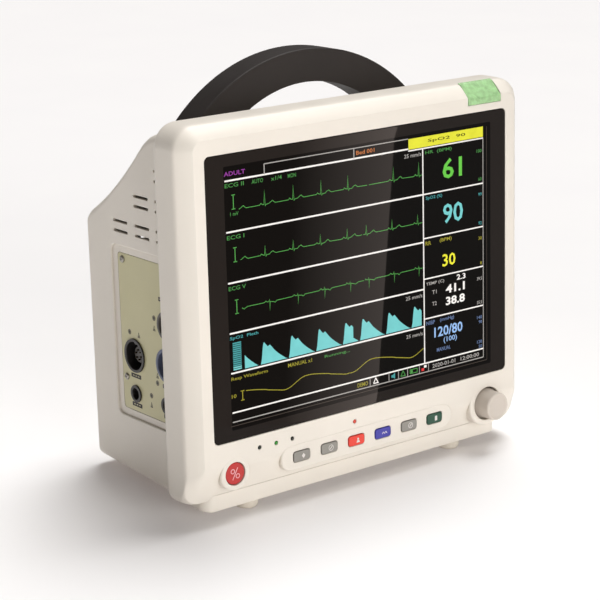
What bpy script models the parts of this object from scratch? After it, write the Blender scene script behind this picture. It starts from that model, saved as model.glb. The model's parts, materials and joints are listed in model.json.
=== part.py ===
"""Bedside patient monitor: bezel, display, keys, encoder knob, housing, handle and what they hold.

All pieces are built in the monitor's own frame, whose origin is the centre of the display window's
front face: X to the viewer's right, Y to the back, Z up the window. One empty, the stance, then leans
that frame back on its feet and stands it on Z = 0.
"""
import math

import bmesh
import bpy
from mathutils import Matrix, Vector

MM = 0.001

# Stance: how the monitor stands on a table
STANCE_LEAN = math.radians(3.65)      # the window leans back by this much
WINDOW_HEIGHT = 0.16693               # window centre above the table
WINDOW_FORWARD = 0.06834              # window centre in front of the object's middle

# Gaps and walls
GAP = 0.0003                          # between pieces that touch
WALL = 0.0025                         # moulded wall
FIT = 0.0004                          # between a sliding piece and its guide

# Display window and panel
WINDOW_HALF_WIDTH = 0.14175
WINDOW_HALF_HEIGHT = 0.1048
WINDOW_CORNER = 0.004
WINDOW_THICK = 0.0027
WINDOW_EDGE = 0.0004
GASKET_WIDTH = 0.0032
GASKET_BACK = 0.0036
GASKET_CORNER = 0.002
LEDGE_FRONT = 0.0039
LEDGE_WIDTH = 0.0038
PANEL_HALF_WIDTH = 0.131
PANEL_HALF_HEIGHT = 0.0985
PANEL_FRONT = 0.0042
PANEL_BACK = 0.0138
PANEL_CORNER = 0.002

# Bezel
BEZEL_HALF_WIDTH = 0.1615
BEZEL_TOP = 0.127
BEZEL_BOTTOM = -0.151
BEZEL_BACK = 0.0386
BEND_START = -0.120                   # below this height the front turns back
BEND_END = -0.1291
BEND_DEPTH = 0.0022
LOWER_SLOPE = 0.51                    # depth gained for each unit of height below the bend
BACK_ROUND = 0.008
BACK_ROUND_LOW = 0.35                 # the rear rounding is shallower along the bottom
BOTTOM_EASE = 0.0005
# Outside of the bezel: depth, set in from the full width, top, upper corner, lower corner
BEZEL_OUTSIDE = (
    (0.0, 0.0102, 0.1158, 0.008, 0.002),
    (0.0022, 0.0076, 0.1184, 0.010, 0.004),
    (0.0055, 0.0042, 0.1218, 0.014, 0.009),
    (0.0090, 0.0010, 0.1251, 0.017, 0.016),
    (0.0106, 0.0002, 0.1262, 0.018, 0.016),
    (0.0132, 0.0, 0.1267, 0.018, 0.013),
)
BEZEL_FULL_DEPTH = 0.0200             # the bezel has its full width and height from here
BEZEL_CORNER = 0.018
BEZEL_CORNER_LOW = 0.008
# Inside of the bezel from back to front: depth, set in, top, bottom, upper corner, lower corner
BEZEL_INSIDE = (
    (0.0406, 0.0183, 0.1142, -0.1437, 0.008, 0.004),
    (0.0361, 0.0183, 0.1142, -0.1437, 0.008, 0.004),
    (0.0361, 0.0065, 0.1205, -0.1447, 0.012, 0.005),
    (0.0300, 0.0035, 0.1235, -0.1447, 0.015, 0.005),
    (0.0170, 0.0035, 0.1225, -0.1435, 0.015, 0.006),
    (0.0120, 0.0050, 0.1140, -0.1375, 0.012, 0.012),
    (0.0062, 0.0135, 0.1088, -0.1262, 0.005, 0.005),
)
CUT_FRONT = -0.002                    # cutting shapes start this far in front of the bezel
CUT_BACK = 0.020
SEAT_CUT = (0.001, 0.010)             # depths of the opening behind the window

# Controls along the bottom of the bezel
CONTROL_ROW = -0.1298
POWER_X = -0.1247
BOSS_SINK = 0.00015                   # raised bosses stop this far behind the window's face
BOSS_BACK = 0.0112
BOSS_EDGE = 0.0012
POWER_BOSS_RADIUS = 0.0128
POWER_RADIUS = 0.0084
POWER_FRONT = 0.0004
POWER_EDGE = 0.0008
POWER_BACK = 0.0100
POWER_SWITCH_HALF = 0.006
POWER_SWITCH_DEPTHS = (0.0145, 0.0225)
PLUNGER_RADIUS = 0.0025
PLUNGER_FRONT = 0.0122
KEY_X_FIRST = -0.0643
KEY_PITCH = 0.02612
KEY_COUNT = 6
KEY_WIDTH = 0.0152
KEY_HEIGHT = 0.0078
KEY_CORNER = 0.0018
KEY_FRONT = -0.0010                   # the keys stand a little proud of their strip
KEY_EDGE = 0.0006
KEY_DEPTH = 0.0112
KEY_SWITCH_HALF = 0.003
KEY_SWITCH_FRONT = 0.0131
KEYPAD_FRONT = 0.0145
KEYPAD_HEIGHTS = (-0.1405, -0.1085)
KEYPAD_REACH = (0.028, 0.004)         # how far the keypad board passes the strip, left and right
STRIP_LEFT = -0.083
STRIP_RIGHT = 0.0845
STRIP_HALF_HEIGHT = 0.0102
KNOB_X = 0.1224
KNOB_BOSS_RADIUS = 0.0182
KNOB_BOSS_EDGE = 0.0015
KNOB_BOSS_BACK = 0.0122
KNOB_RADIUS = 0.0112
KNOB_SKIRT_RADIUS = 0.0122
KNOB_FRONT = -0.0125
KNOB_EDGE = 0.0012
KNOB_TAPER = 0.0003
KNOB_SKIRT_FRONT = 0.0018
KNOB_BORE_FRONT = -0.0070
KNOB_BACK = 0.0040
KNOB_WELL_RADIUS = 0.0134
KNOB_WELL_DEPTH = 0.0062
SHAFT_RADIUS = 0.0029
SHAFT_COLLAR = 0.0042
SHAFT_DEPTHS = (-0.0052, 0.0120, 0.0205)   # front end, collar, rear end
SHAFT_HOLE = 0.0045
ENCODER_HALF = 0.0068
ENCODER_DEPTHS = (0.0145, 0.0230)
ENCODER_BORE = 0.0046
ENCODER_BORE_DEPTHS = (0.0130, 0.0210)
LED_ROW = -0.1149
LED_RADIUS = 0.0014
LED_FRONT = -0.0004
LED_SHOULDER = 0.0001
LED_BACK = 0.0090
LED_HOLE_BACK = 0.010
LEDS = {"led_mains": -0.1022, "led_power": -0.0871, "led_battery": -0.0722, "led_alarm": -0.0129}

# Alarm lamp on the upper right corner of the bezel
LAMP_LEFT = 0.1036
LAMP_RIGHT = 0.137
LAMP_PROFILE = ((-0.0006, 0.111), (-0.0006, 0.1161), (0.0089, 0.1260), (0.0120, 0.1276),
                (0.0120, 0.1225), (0.0050, 0.1155), (0.0050, 0.111))
LAMP_POCKET_FRONT = -0.004
LAMP_POCKET_TOP = 0.133
LAMP_WIRE_HEIGHT = 0.1128
LAMP_WIRE_RADIUS = 0.0012
LAMP_WIRE_DEPTHS = (0.004, 0.016)
LAMP_BOARD_REACH = (0.014, 0.012)     # from the lamp's middle, left and right
LAMP_BOARD_FRONT = 0.0175
LAMP_BOARD_HEIGHTS = (0.1075, 0.1195)

# Rear housing
HOUSING_HALF_WIDTH = 0.1452
HOUSING_FRONT = 0.0389
HOUSING_BACK = 0.1553
HOUSING_BOTTOM_BACK = -0.1496
BOTTOM_RISE = math.tan(STANCE_LEAN)   # the underside is level when the monitor stands
SLOPE_TOP = (0.0765, 0.1044)          # the sloping back runs between these two points
SLOPE_END = (0.1490, 0.0462)
SLOPE_SAG = 0.0042
SLOPE_STEPS = 7
TOP_FRONT = ((0.0389, 0.1165), (0.0500, 0.1158), (0.0600, 0.1136), (0.0670, 0.1112), (0.0725, 0.1076))
TOP_BACK = ((0.1530, 0.0425), (0.1553, 0.0380))
HOUSING_CORNER = 0.007
HOUSING_CORNER_LOW = 0.006
HOUSING_BACK_EDGE = 0.004
BACK_EDGE_TOP = 0.25                  # share of the rear edge taken off along the top
CHIN_FRONT = 0.0115
CHIN_TOP = -0.1475
CHIN_BOTTOM = -0.1602
CHIN_HALF_WIDTH = 0.1443
CHIN_CORNER = 0.010
CHIN_BACK = 0.0414
CHIN_EDGE = 0.0010
CHIN_BACK_RISE = 0.0006               # the chin ends this far above the housing's underside
CHIN_NOTCH_BACK = 0.045
CHIN_WALL = 0.0045
CHIN_HOLLOW_BACK = 0.0440

# Side vents: columns by their rear end, rows in pairs
VENT_LENGTH = 0.0192
VENT_HEIGHT = 0.0018
VENT_COLUMNS = (0.0579, 0.0877, 0.1165)
VENT_PAIRS = (0.0838, 0.0616, 0.0394)
VENT_PAIR_STEP = 0.0075
VENT_COLUMNS_IN_PAIR = (1, 2, 3)
VENT_FRONT_LIMIT = 0.0025             # no vent starts nearer than this to the housing's front
VENT_CUT = (0.006, 0.002)             # how far the vent cut reaches inside and outside the wall

# Connector plate on the left side, as (depth, height) in the side wall
RECESS = ((0.0404, 0.1218), (-0.1075, 0.0245))
RECESS_DEPTH = 0.0020
RECESS_CORNER = 0.006
RECESS_PAD = (0.001, 0.0065)          # thicker wall behind the recess, from the outside
PLATE = ((0.0410, 0.1155), (-0.1020, 0.0186))
PLATE_THICK = 0.0015
PLATE_CORNER = 0.003
SOCKETS = {
    "ecg_socket": (0.0977, -0.0583, 0.0130),
    "spo2_socket": (0.0554, -0.0571, 0.0129),
    "nibp_socket": (0.0535, -0.0267, 0.0113),
    "temp_socket_1": (0.0978, -0.0880, 0.0067),
    "temp_socket_2": (0.0570, -0.0882, 0.0067),
}
SOCKET_DEPTH = 0.012
SOCKET_FLOOR = 0.0025
SOCKET_LIP = 0.0011
SOCKET_RIM = 0.0004
SOCKET_THROAT = 0.0026                # smaller than the flange's radius by this much
SOCKET_BARREL = 0.0013
SOCKET_HOLE = 0.0009
SOCKET_OPENING = ((0.0435, 0.1115), (-0.0972, -0.0135))   # in the side wall behind the sockets
PLATE_SCREWS = ((0.1090, 0.0140), (0.1098, -0.0770), (0.0480, 0.0140), (0.0452, -0.0770))
PLATE_SCREW_HEAD = (0.0018, 0.0024)   # radius at the top and at the rim
PLATE_SCREW_HIGH = (0.0012, 0.0007)
PLATE_SCREW_SHANK = 0.0010
PLATE_SCREW_LENGTH = 0.0060
PLATE_SCREW_HOLE = 0.0014
WALL_SCREW_HOLE = 0.0012
PLATE_CUT = (0.001, 0.003)            # cuts through the plate start before and end after its face

# Handle
HANDLE_FRONT = 0.066
HANDLE_BACK = 0.092
HANDLE_OUTER = (0.018, 0.1412)        # height of the arc's centre, radius
HANDLE_INNER = (0.029, 0.1050)
HANDLE_FOOT = 0.075                   # height where the arch ends, inside the housing
HANDLE_STEPS = 28
HANDLE_EDGE = 0.0012
HANDLE_SCREW_X = 0.092
HANDLE_SCREW_Y = 0.080
HANDLE_PAD_LOW = 0.0800               # underside of the screw pads below the slope
HANDLE_PAD_RADIUS = 0.0065
HANDLE_PAD_HOLE = 0.0024
HANDLE_PAD_CUT = (0.0780, 0.1050)
HANDLE_HOLE = (0.0020, 0.1135)        # radius, top
HANDLE_SCREW_HEAD = 0.0040
HANDLE_SCREW_EDGE = 0.0006
HANDLE_SCREW_HIGH = 0.0031
HANDLE_SCREW_SHANK = (0.0017, 0.1125)   # radius, top

# Inside
FRAME_FRONT = 0.0144
FRAME_THICK = 0.0015
FRAME_SIZE = ((-0.140, 0.140), (-0.104, 0.104))
FRAME_CORNER = 0.004
FRAME_WINDOW = (0.060, 0.040, 0.006)  # half width, half height, corner
FRAME_CUT = (0.010, 0.020)
POST_RADIUS = 0.0045
POST_BORE = 0.0018
POST_BORE_LENGTH = 0.016
POSTS = ((-0.125, -0.085), (0.125, -0.085), (-0.125, 0.014), (0.125, 0.014))
BOARD_THICK = 0.0016
HOUSING_SCREW_HOLE = 0.0019
HOUSING_SCREW_HEAD = (0.0030, 0.0036)   # radius at the top and at the rim
HOUSING_SCREW_HIGH = (0.0020, 0.0014)
HOUSING_SCREW_SHANK = 0.0015
HOUSING_SCREW_LENGTH = 0.0120
MAIN_BOARD = ((-0.105, 0.110), (-0.095, 0.090))
MAIN_BOARD_FRONT = 0.0240
CHIPS = ((-0.040, 0.030, 0.014), (0.045, 0.040, 0.010), (0.010, -0.040, 0.012), (0.080, -0.060, 0.008))
CHIP_DEPTHS = (0.0250, 0.0290)
MODULE_CORNER = 0.002
PARAMETER_MODULE = ((-0.120, -0.045), (0.0480, 0.1250), (-0.110, 0.008))
POWER_SUPPLY = ((0.025, 0.110), (0.0600, 0.1400), (-0.082, -0.010))
BATTERY_MARGIN = 0.004
BATTERY_HEIGHTS = (-0.1440, -0.1200)
BATTERY_CORNER = 0.003
PUMP_AT = (-0.010, -0.070)
PUMP_PROFILE = ((0.014, 0.060), (0.016, 0.062), (0.016, 0.110), (0.008, 0.110), (0.008, 0.118))
SPEAKER_AT = (0.090, -0.125)
SPEAKER_PROFILE = ((0.020, 0.050), (0.020, 0.053), (0.012, 0.060), (0.012, 0.070))

# Rear panel, as (left, right) and (low, high)
PANEL_OPENING = ((-0.030, 0.118), (-0.140, -0.096))
REAR_PANEL_THICK = 0.0015
REAR_PANEL_MARGIN = 0.004
PANEL_OPENING_CORNER = 0.003
REAR_CUT = (0.008, 0.002)             # how far cuts in the rear wall reach inside and outside
PANEL_CUT = 0.002
# Cut-outs of the rear panel as (middle, half width, half height)
INLET_CUT = (0.080, 0.0139, 0.0104)
FUSE_CUT = (0.051, 0.0065, 0.0065)
PORT_CUT = (0.018, 0.0085, 0.0070)
INLET_HALF = (0.0136, 0.0101)
INLET_DEPTHS = (0.014, 0.0020)        # in front of the panel, behind the panel
INLET_WELL = (0.0116, 0.0080)
INLET_WELL_DEPTHS = (0.010, 0.004)
INLET_PINS = ((-0.0070, -0.002), (0.0070, -0.002), (0.0, 0.003))
INLET_PIN_HALF = (0.0010, 0.002)
INLET_PIN_DEPTHS = (0.012, 0.004)
INLET_CORNER = 0.002
FUSE_PROFILE = ((0.0055, -0.012), (0.0055, 0.0016), (0.0047, 0.0021))
PORT_HALF = (0.0082, 0.0067)
PORT_DEPTHS = (0.012, 0.0015)
PORT_WELL = (0.0059, 0.0045)
PORT_WELL_DEPTHS = (0.009, 0.003)
STUD_X = -0.010
STUD_HOLE = 0.0034
STUD_RADIUS = 0.0030
STUD_NUT = 0.0050
STUD_LENGTH = 0.005
STUD_END = ((0.0016, 0.0050), (0.0016, 0.0028), (0.0024, 0.0028))   # behind the panel, radius

# Slots in the rear wall
SLOT_ROWS = 5
SLOT_COLUMNS = 4
SLOT_FIRST = (-0.078, -0.020)
SLOT_PITCH = (0.052, 0.009)
SLOT_HALF = (0.020, 0.0015)

# Battery door in the underside
DOOR = ((-0.075, 0.035), (0.060, 0.132))
DOOR_THICK = 0.0022
DOOR_CUT = (0.004, 0.006)             # how far the opening's cut reaches below and above

# Feet
FOOT_RADIUS = 0.0088
FRONT_FOOT = (0.100, 0.022)
REAR_FOOT = (0.104, 0.136)
FOOT_RIM = 0.0010
FRONT_FOOT_CLEARANCE = 0.0010         # the chin slopes across the top of a front foot

ARC_STEPS = 4
SMALL_STEPS = 12
ROUND_STEPS = 24
FINE_STEPS = 32
OUTLINE_SLACK = 0.0001                # keeps a fully round end from folding on itself
SMOOTH_ANGLE = math.radians(35)


# ---------------------------------------------------------------- scene and materials

for old in list(bpy.data.objects):
    bpy.data.objects.remove(old, do_unlink=True)


def material(name, colour, roughness, metallic=0.0):
    made = bpy.data.materials.new(name)
    made.use_nodes = True
    shader = made.node_tree.nodes["Principled BSDF"]
    shader.inputs["Base Color"].default_value = (*colour, 1.0)
    shader.inputs["Roughness"].default_value = roughness
    shader.inputs["Metallic"].default_value = metallic
    made.diffuse_color = (*colour, 1.0)
    return made


CASE = material("case_plastic", (0.80, 0.75, 0.68), 0.45)
HANDLE_PLASTIC = material("handle_plastic", (0.035, 0.03, 0.028), 0.5)
WINDOW_GLASS = material("window_glass", (0.02, 0.017, 0.016), 0.08)
PLATE_METAL = material("plate_metal", (0.46, 0.43, 0.29), 0.4, 0.3)
SOCKET_PLASTIC = material("socket_plastic", (0.03, 0.028, 0.028), 0.4)
SOCKET_BLUE = material("socket_blue", (0.16, 0.2, 0.28), 0.4)
STEEL = material("steel", (0.6, 0.6, 0.6), 0.35, 1.0)
BOARD_GREEN = material("board_green", (0.03, 0.16, 0.07), 0.5)
RUBBER = material("foot_rubber", (0.74, 0.68, 0.6), 0.8)
SEAL_FOAM = material("seal_foam", (0.05, 0.05, 0.05), 0.9)
LAMP_GREEN = material("lamp_green", (0.32, 0.68, 0.28), 0.3)
POWER_RED = material("power_red", (0.55, 0.03, 0.03), 0.4)
PANEL_BACKING = material("panel_backing", (0.5, 0.5, 0.52), 0.4, 0.6)
BATTERY_WRAP = material("battery_wrap", (0.06, 0.08, 0.12), 0.5)
LED_COLOURS = {
    "led_mains": material("led_off", (0.03, 0.04, 0.03), 0.3),
    "led_power": material("led_green", (0.08, 0.45, 0.08), 0.3),
    "led_battery": material("led_dark", (0.04, 0.04, 0.03), 0.3),
    "led_alarm": material("led_red", (0.85, 0.15, 0.1), 0.3),
}
KEY_GREY = material("key_grey", (0.28, 0.27, 0.25), 0.5)
KEY_COLOURS = (
    KEY_GREY,
    KEY_GREY,
    material("key_red", (0.75, 0.05, 0.03), 0.45),
    material("key_blue", (0.05, 0.05, 0.35), 0.45),
    KEY_GREY,
    material("key_green", (0.015, 0.08, 0.045), 0.45),
)

stance = bpy.data.objects.new("stance", None)
bpy.context.scene.collection.objects.link(stance)
stance.location = (0.0, -WINDOW_FORWARD, WINDOW_HEIGHT)
stance.rotation_euler = (-STANCE_LEAN, 0.0, 0.0)


# ---------------------------------------------------------------- mesh helpers

def publish(name, bm, finish, pivot=(0.0, 0.0, 0.0)):
    """Turn a bmesh in the monitor's frame into an object whose origin is the pivot."""
    bmesh.ops.recalc_face_normals(bm, faces=bm.faces)
    bmesh.ops.translate(bm, verts=bm.verts, vec=-Vector(pivot))
    mesh = bpy.data.meshes.new(name)
    bm.to_mesh(mesh)
    bm.free()
    mesh.shade_smooth()
    mesh.set_sharp_from_angle(angle=SMOOTH_ANGLE)
    mesh.materials.append(finish)
    obj = bpy.data.objects.new(name, mesh)
    bpy.context.scene.collection.objects.link(obj)
    obj.parent = stance
    obj.location = pivot
    return obj


def loft(bm, loops, cap_first=True, cap_last=True):
    """Bridge closed loops of equal length; every loop is a list of points."""
    rings = []
    for points in loops:
        rings.append([bm.verts.new(p) for p in points])
    for near, far in zip(rings, rings[1:]):
        for i in range(len(near)):
            j = (i + 1) % len(near)
            bm.faces.new((near[i], near[j], far[j], far[i]))
    if cap_first:
        bm.faces.new(rings[0])
    if cap_last:
        bm.faces.new(rings[-1])


def rounded(left, right, low, high, corner, corner_low=None, steps=ARC_STEPS):
    """Outline of a rectangle with round corners, as (u, v) points."""
    corner_low = corner if corner_low is None else corner_low
    centres = (
        (right - corner, high - corner, corner, 0.0),
        (left + corner, high - corner, corner, 0.5 * math.pi),
        (left + corner_low, low + corner_low, corner_low, math.pi),
        (right - corner_low, low + corner_low, corner_low, 1.5 * math.pi),
    )
    outline = []
    for u, v, radius, start in centres:
        for i in range(steps + 1):
            angle = start + 0.5 * math.pi * i / steps
            outline.append((u + radius * math.cos(angle), v + radius * math.sin(angle)))
    return outline


def circle(u, v, radius, steps=ROUND_STEPS):
    turn = 2.0 * math.pi / steps
    return [(u + radius * math.cos(turn * i), v + radius * math.sin(turn * i)) for i in range(steps)]


def along_y(outline, depth):
    return [(u, depth, v) for u, v in outline]


def along_x(outline, across):
    return [(across, u, v) for u, v in outline]


def along_z(outline, height):
    return [(u, v, height) for u, v in outline]


def prism(bm, outline, place, start, end):
    loft(bm, [place(outline, start), place(outline, end)])


def soft_prism(bm, outline_at, place, start, end, edge):
    """A prism whose start end has a small 45 degree edge; outline_at(inset) gives the outline."""
    loops = [
        place(outline_at(edge), start),
        place(outline_at(0.0), start + math.copysign(edge, end - start)),
        place(outline_at(0.0), end),
    ]
    loft(bm, loops)


def turned(bm, centre, place, profile, steps=ROUND_STEPS):
    """Solid of revolution: profile is (radius, position along the axis) from end to end."""
    loft(bm, [place(circle(*centre, radius, steps), at) for radius, at in profile])


def ring(bm, loops):
    """Bridge closed loops and join the last one back to the first."""
    rings = []
    for points in loops:
        rings.append([bm.verts.new(p) for p in points])
    for near, far in zip(rings, rings[1:] + rings[:1]):
        for i in range(len(near)):
            j = (i + 1) % len(near)
            bm.faces.new((near[i], near[j], far[j], far[i]))


def block(bm, x, y, z, edge=0.0):
    """Box between pairs of limits, with a rounded outline in X and Z where edge is given."""
    if edge > 0.0:
        outline = rounded(x[0], x[1], z[0], z[1], edge, steps=2)
    else:
        outline = [(x[0], z[0]), (x[1], z[0]), (x[1], z[1]), (x[0], z[1])]
    prism(bm, outline, along_y, y[0], y[1])


def combine(target, tool, operation):
    """Cut or join the tool into the target; the tool stays as a hidden guide."""
    tool.hide_render = True
    tool.display_type = "WIRE"
    step = target.modifiers.new(tool.name, "BOOLEAN")
    step.operation = operation
    step.solver = "EXACT"
    step.object = tool


def guide(name, bm):
    return publish(name, bm, CASE)


# ---------------------------------------------------------------- shared shapes

def bezel_section(depth, half_width, top, bottom, corner_top, corner_low):
    return along_y(rounded(-half_width, half_width, bottom, top, corner_top, corner_low), depth)


def lower_height(depth):
    """Height where the bezel's lower front, which turns back below the window, reaches this depth."""
    if depth <= BEND_DEPTH:
        return BEND_START + (BEND_END - BEND_START) * depth / BEND_DEPTH
    return max(BEND_END - (depth - BEND_DEPTH) / LOWER_SLOPE, BEZEL_BOTTOM + BOTTOM_EASE)


def underside(depth):
    """Height of the housing's underside at this depth."""
    return HOUSING_BOTTOM_BACK - (HOUSING_BACK - depth) * BOTTOM_RISE


def slope_height(depth):
    """Height of the sagging slope at the back of the housing."""
    (y0, z0), (y1, z1) = SLOPE_TOP, SLOPE_END
    t = (depth - y0) / (y1 - y0)
    return z0 + (z1 - z0) * t - 4.0 * SLOPE_SAG * t * (1.0 - t)


def housing_top_line():
    """Top of the rear housing from front to back, as (depth, height)."""
    line = list(TOP_FRONT)
    for i in range(SLOPE_STEPS + 1):
        depth = SLOPE_TOP[0] + (SLOPE_END[0] - SLOPE_TOP[0]) * i / SLOPE_STEPS
        line.append((depth, slope_height(depth)))
    line += TOP_BACK
    return line


def housing_loops(inset, front, back):
    """Sections of the rear housing, set in by the wall or set out by a gap."""
    loops = []
    half = HOUSING_HALF_WIDTH - inset
    for depth, top in housing_top_line():
        at = min(max(depth, front), back)
        shrink = HOUSING_BACK_EDGE if depth >= HOUSING_BACK else 0.0
        outline = rounded(-half + shrink, half - shrink, underside(depth) + inset + shrink,
                          top - inset - BACK_EDGE_TOP * shrink, HOUSING_CORNER, HOUSING_CORNER_LOW)
        loops.append(along_y(outline, at))
    return loops


# ---------------------------------------------------------------- front bezel

def key_centres():
    return [KEY_X_FIRST + KEY_PITCH * i for i in range(KEY_COUNT)]


def bezel_outside():
    loops = []
    for depth, inset, top, corner, corner_low in BEZEL_OUTSIDE:
        low = lower_height(depth)
        loops.append(bezel_section(depth, BEZEL_HALF_WIDTH - inset, top, low, corner, corner_low))
    loops.append(bezel_section(BEZEL_FULL_DEPTH, BEZEL_HALF_WIDTH, BEZEL_TOP, BEZEL_BOTTOM, BEZEL_CORNER,
                               BEZEL_CORNER_LOW))
    for step in range(ARC_STEPS):
        angle = 0.5 * math.pi * step / (ARC_STEPS - 1)
        drop = BACK_ROUND * (1.0 - math.cos(angle))
        depth = BEZEL_BACK - BACK_ROUND * (1.0 - math.sin(angle))
        low = BEZEL_BOTTOM + BACK_ROUND_LOW * drop
        loops.append(bezel_section(depth, BEZEL_HALF_WIDTH - drop, BEZEL_TOP - drop, low,
                                   BEZEL_CORNER - 0.5 * drop, BEZEL_CORNER_LOW - BACK_ROUND_LOW * drop))
    return loops


def bezel_inside():
    loops = []
    for depth, inset, top, low, corner, corner_low in BEZEL_INSIDE:
        loops.append(bezel_section(depth, BEZEL_HALF_WIDTH - inset, top, low, corner, corner_low))
    return loops


def key_strip(inset):
    radius = STRIP_HALF_HEIGHT - inset
    return rounded(STRIP_LEFT + inset, STRIP_RIGHT - inset, CONTROL_ROW - radius, CONTROL_ROW + radius,
                   radius - OUTLINE_SLACK, steps=6)


def join_bosses(bezel):
    """Raised rings around the power button and the knob, and the strip around the keys."""
    for name, x, radius, edge, back in (
            ("power_boss_guide", POWER_X, POWER_BOSS_RADIUS, BOSS_EDGE, BOSS_BACK),
            ("knob_boss_guide", KNOB_X, KNOB_BOSS_RADIUS, KNOB_BOSS_EDGE, KNOB_BOSS_BACK)):
        bm = bmesh.new()
        profile = ((radius - edge, BOSS_SINK), (radius, edge), (radius, back))
        turned(bm, (x, CONTROL_ROW), along_y, profile, FINE_STEPS)
        combine(bezel, guide(name, bm), "UNION")
    bm = bmesh.new()
    soft_prism(bm, key_strip, along_y, BOSS_SINK, BOSS_BACK, BOSS_EDGE)
    combine(bezel, guide("key_strip_guide", bm), "UNION")


def cut_window_opening(bezel):
    half_w = WINDOW_HALF_WIDTH + GAP
    half_h = WINDOW_HALF_HEIGHT + GAP
    bm = bmesh.new()
    prism(bm, rounded(-half_w, half_w, -half_h, half_h, WINDOW_CORNER), along_y, CUT_FRONT, LEDGE_FRONT)
    combine(bezel, guide("window_seat_guide", bm), "DIFFERENCE")
    half_w -= LEDGE_WIDTH
    half_h -= LEDGE_WIDTH
    bm = bmesh.new()
    prism(bm, rounded(-half_w, half_w, -half_h, half_h, WINDOW_CORNER), along_y, *SEAT_CUT)
    combine(bezel, guide("window_opening_guide", bm), "DIFFERENCE")


def cut_control_holes(bezel):
    bm = bmesh.new()
    for x in key_centres():
        outline = rounded(x - 0.5 * KEY_WIDTH - FIT, x + 0.5 * KEY_WIDTH + FIT,
                          CONTROL_ROW - 0.5 * KEY_HEIGHT - FIT, CONTROL_ROW + 0.5 * KEY_HEIGHT + FIT,
                          KEY_CORNER + FIT, steps=3)
        prism(bm, outline, along_y, CUT_FRONT, CUT_BACK)
    for x in LEDS.values():
        prism(bm, circle(x, LED_ROW, LED_RADIUS + GAP, SMALL_STEPS), along_y, CUT_FRONT, LED_HOLE_BACK)
    prism(bm, circle(POWER_X, CONTROL_ROW, POWER_RADIUS + FIT, FINE_STEPS), along_y, CUT_FRONT, CUT_BACK)
    prism(bm, circle(KNOB_X, CONTROL_ROW, SHAFT_HOLE, 16), along_y, CUT_FRONT, CUT_BACK)
    combine(bezel, guide("control_holes_guide", bm), "DIFFERENCE")
    bm = bmesh.new()
    prism(bm, circle(KNOB_X, CONTROL_ROW, KNOB_WELL_RADIUS, FINE_STEPS), along_y, CUT_FRONT, KNOB_WELL_DEPTH)
    combine(bezel, guide("knob_well_guide", bm), "DIFFERENCE")


def cut_lamp_and_chin(bezel):
    bm = bmesh.new()
    prism(bm, lamp_pocket(), along_x, LAMP_LEFT - GAP, LAMP_RIGHT + GAP)
    combine(bezel, guide("lamp_pocket_guide", bm), "DIFFERENCE")
    bm = bmesh.new()
    middle = 0.5 * (LAMP_LEFT + LAMP_RIGHT)
    prism(bm, circle(middle, LAMP_WIRE_HEIGHT, LAMP_WIRE_RADIUS, SMALL_STEPS), along_y, *LAMP_WIRE_DEPTHS)
    combine(bezel, guide("lamp_wire_guide", bm), "DIFFERENCE")
    bm = bmesh.new()
    loft(bm, chin_loops(CHIN_HALF_WIDTH + GAP, CHIN_FRONT - GAP, CHIN_TOP + GAP, GAP, CHIN_NOTCH_BACK))
    combine(bezel, guide("chin_notch_guide", bm), "DIFFERENCE")


def build_bezel():
    bm = bmesh.new()
    loft(bm, bezel_outside())
    bezel = publish("front_bezel", bm, CASE)
    join_bosses(bezel)
    bm = bmesh.new()
    loft(bm, bezel_inside())
    combine(bezel, guide("bezel_cavity_guide", bm), "DIFFERENCE")
    cut_window_opening(bezel)
    cut_control_holes(bezel)
    cut_lamp_and_chin(bezel)


def lamp_pocket():
    """Pocket for the alarm lamp: open outwards, one gap clear of the lamp inside."""
    lens = LAMP_PROFILE
    back = lens[3][0] + GAP
    return [(LAMP_POCKET_FRONT, lens[0][1] - GAP), (LAMP_POCKET_FRONT, LAMP_POCKET_TOP),
            (back, LAMP_POCKET_TOP), (back, lens[4][1] - GAP), (lens[5][0] + GAP, lens[5][1] - GAP),
            (lens[6][0] + GAP, lens[6][1] - GAP)]


def chin_underside(depth, front=CHIN_FRONT):
    rise = underside(CHIN_BACK) + CHIN_BACK_RISE - CHIN_BOTTOM
    return CHIN_BOTTOM + (depth - front) * rise / (CHIN_BACK - front)


def chin_loops(half_width, front, top, grow, back):
    """Chin under the bezel, round at its two front corners, with a sloping underside."""
    radius = CHIN_CORNER
    steps = 2 * ARC_STEPS
    plan = []
    for sign, start in ((-1.0, math.pi), (1.0, -0.5 * math.pi)):
        for i in range(steps + 1):
            angle = start + 0.5 * math.pi * i / steps
            plan.append((sign * (half_width - radius) + radius * math.cos(angle),
                         front + radius + radius * math.sin(angle)))
    plan += [(half_width, back), (-half_width, back)]
    squeeze = 1.0 - CHIN_EDGE / half_width
    upper, middle, lower = [], [], []
    for x, y in plan:
        y_in = max(y, front + CHIN_EDGE)
        upper.append((x, y, top))
        middle.append((x, y, chin_underside(y, front) - grow + CHIN_EDGE))
        lower.append((x * squeeze, y_in, chin_underside(y_in, front) - grow))
    return [upper, middle, lower]


# ---------------------------------------------------------------- window, gasket and panel

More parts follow.
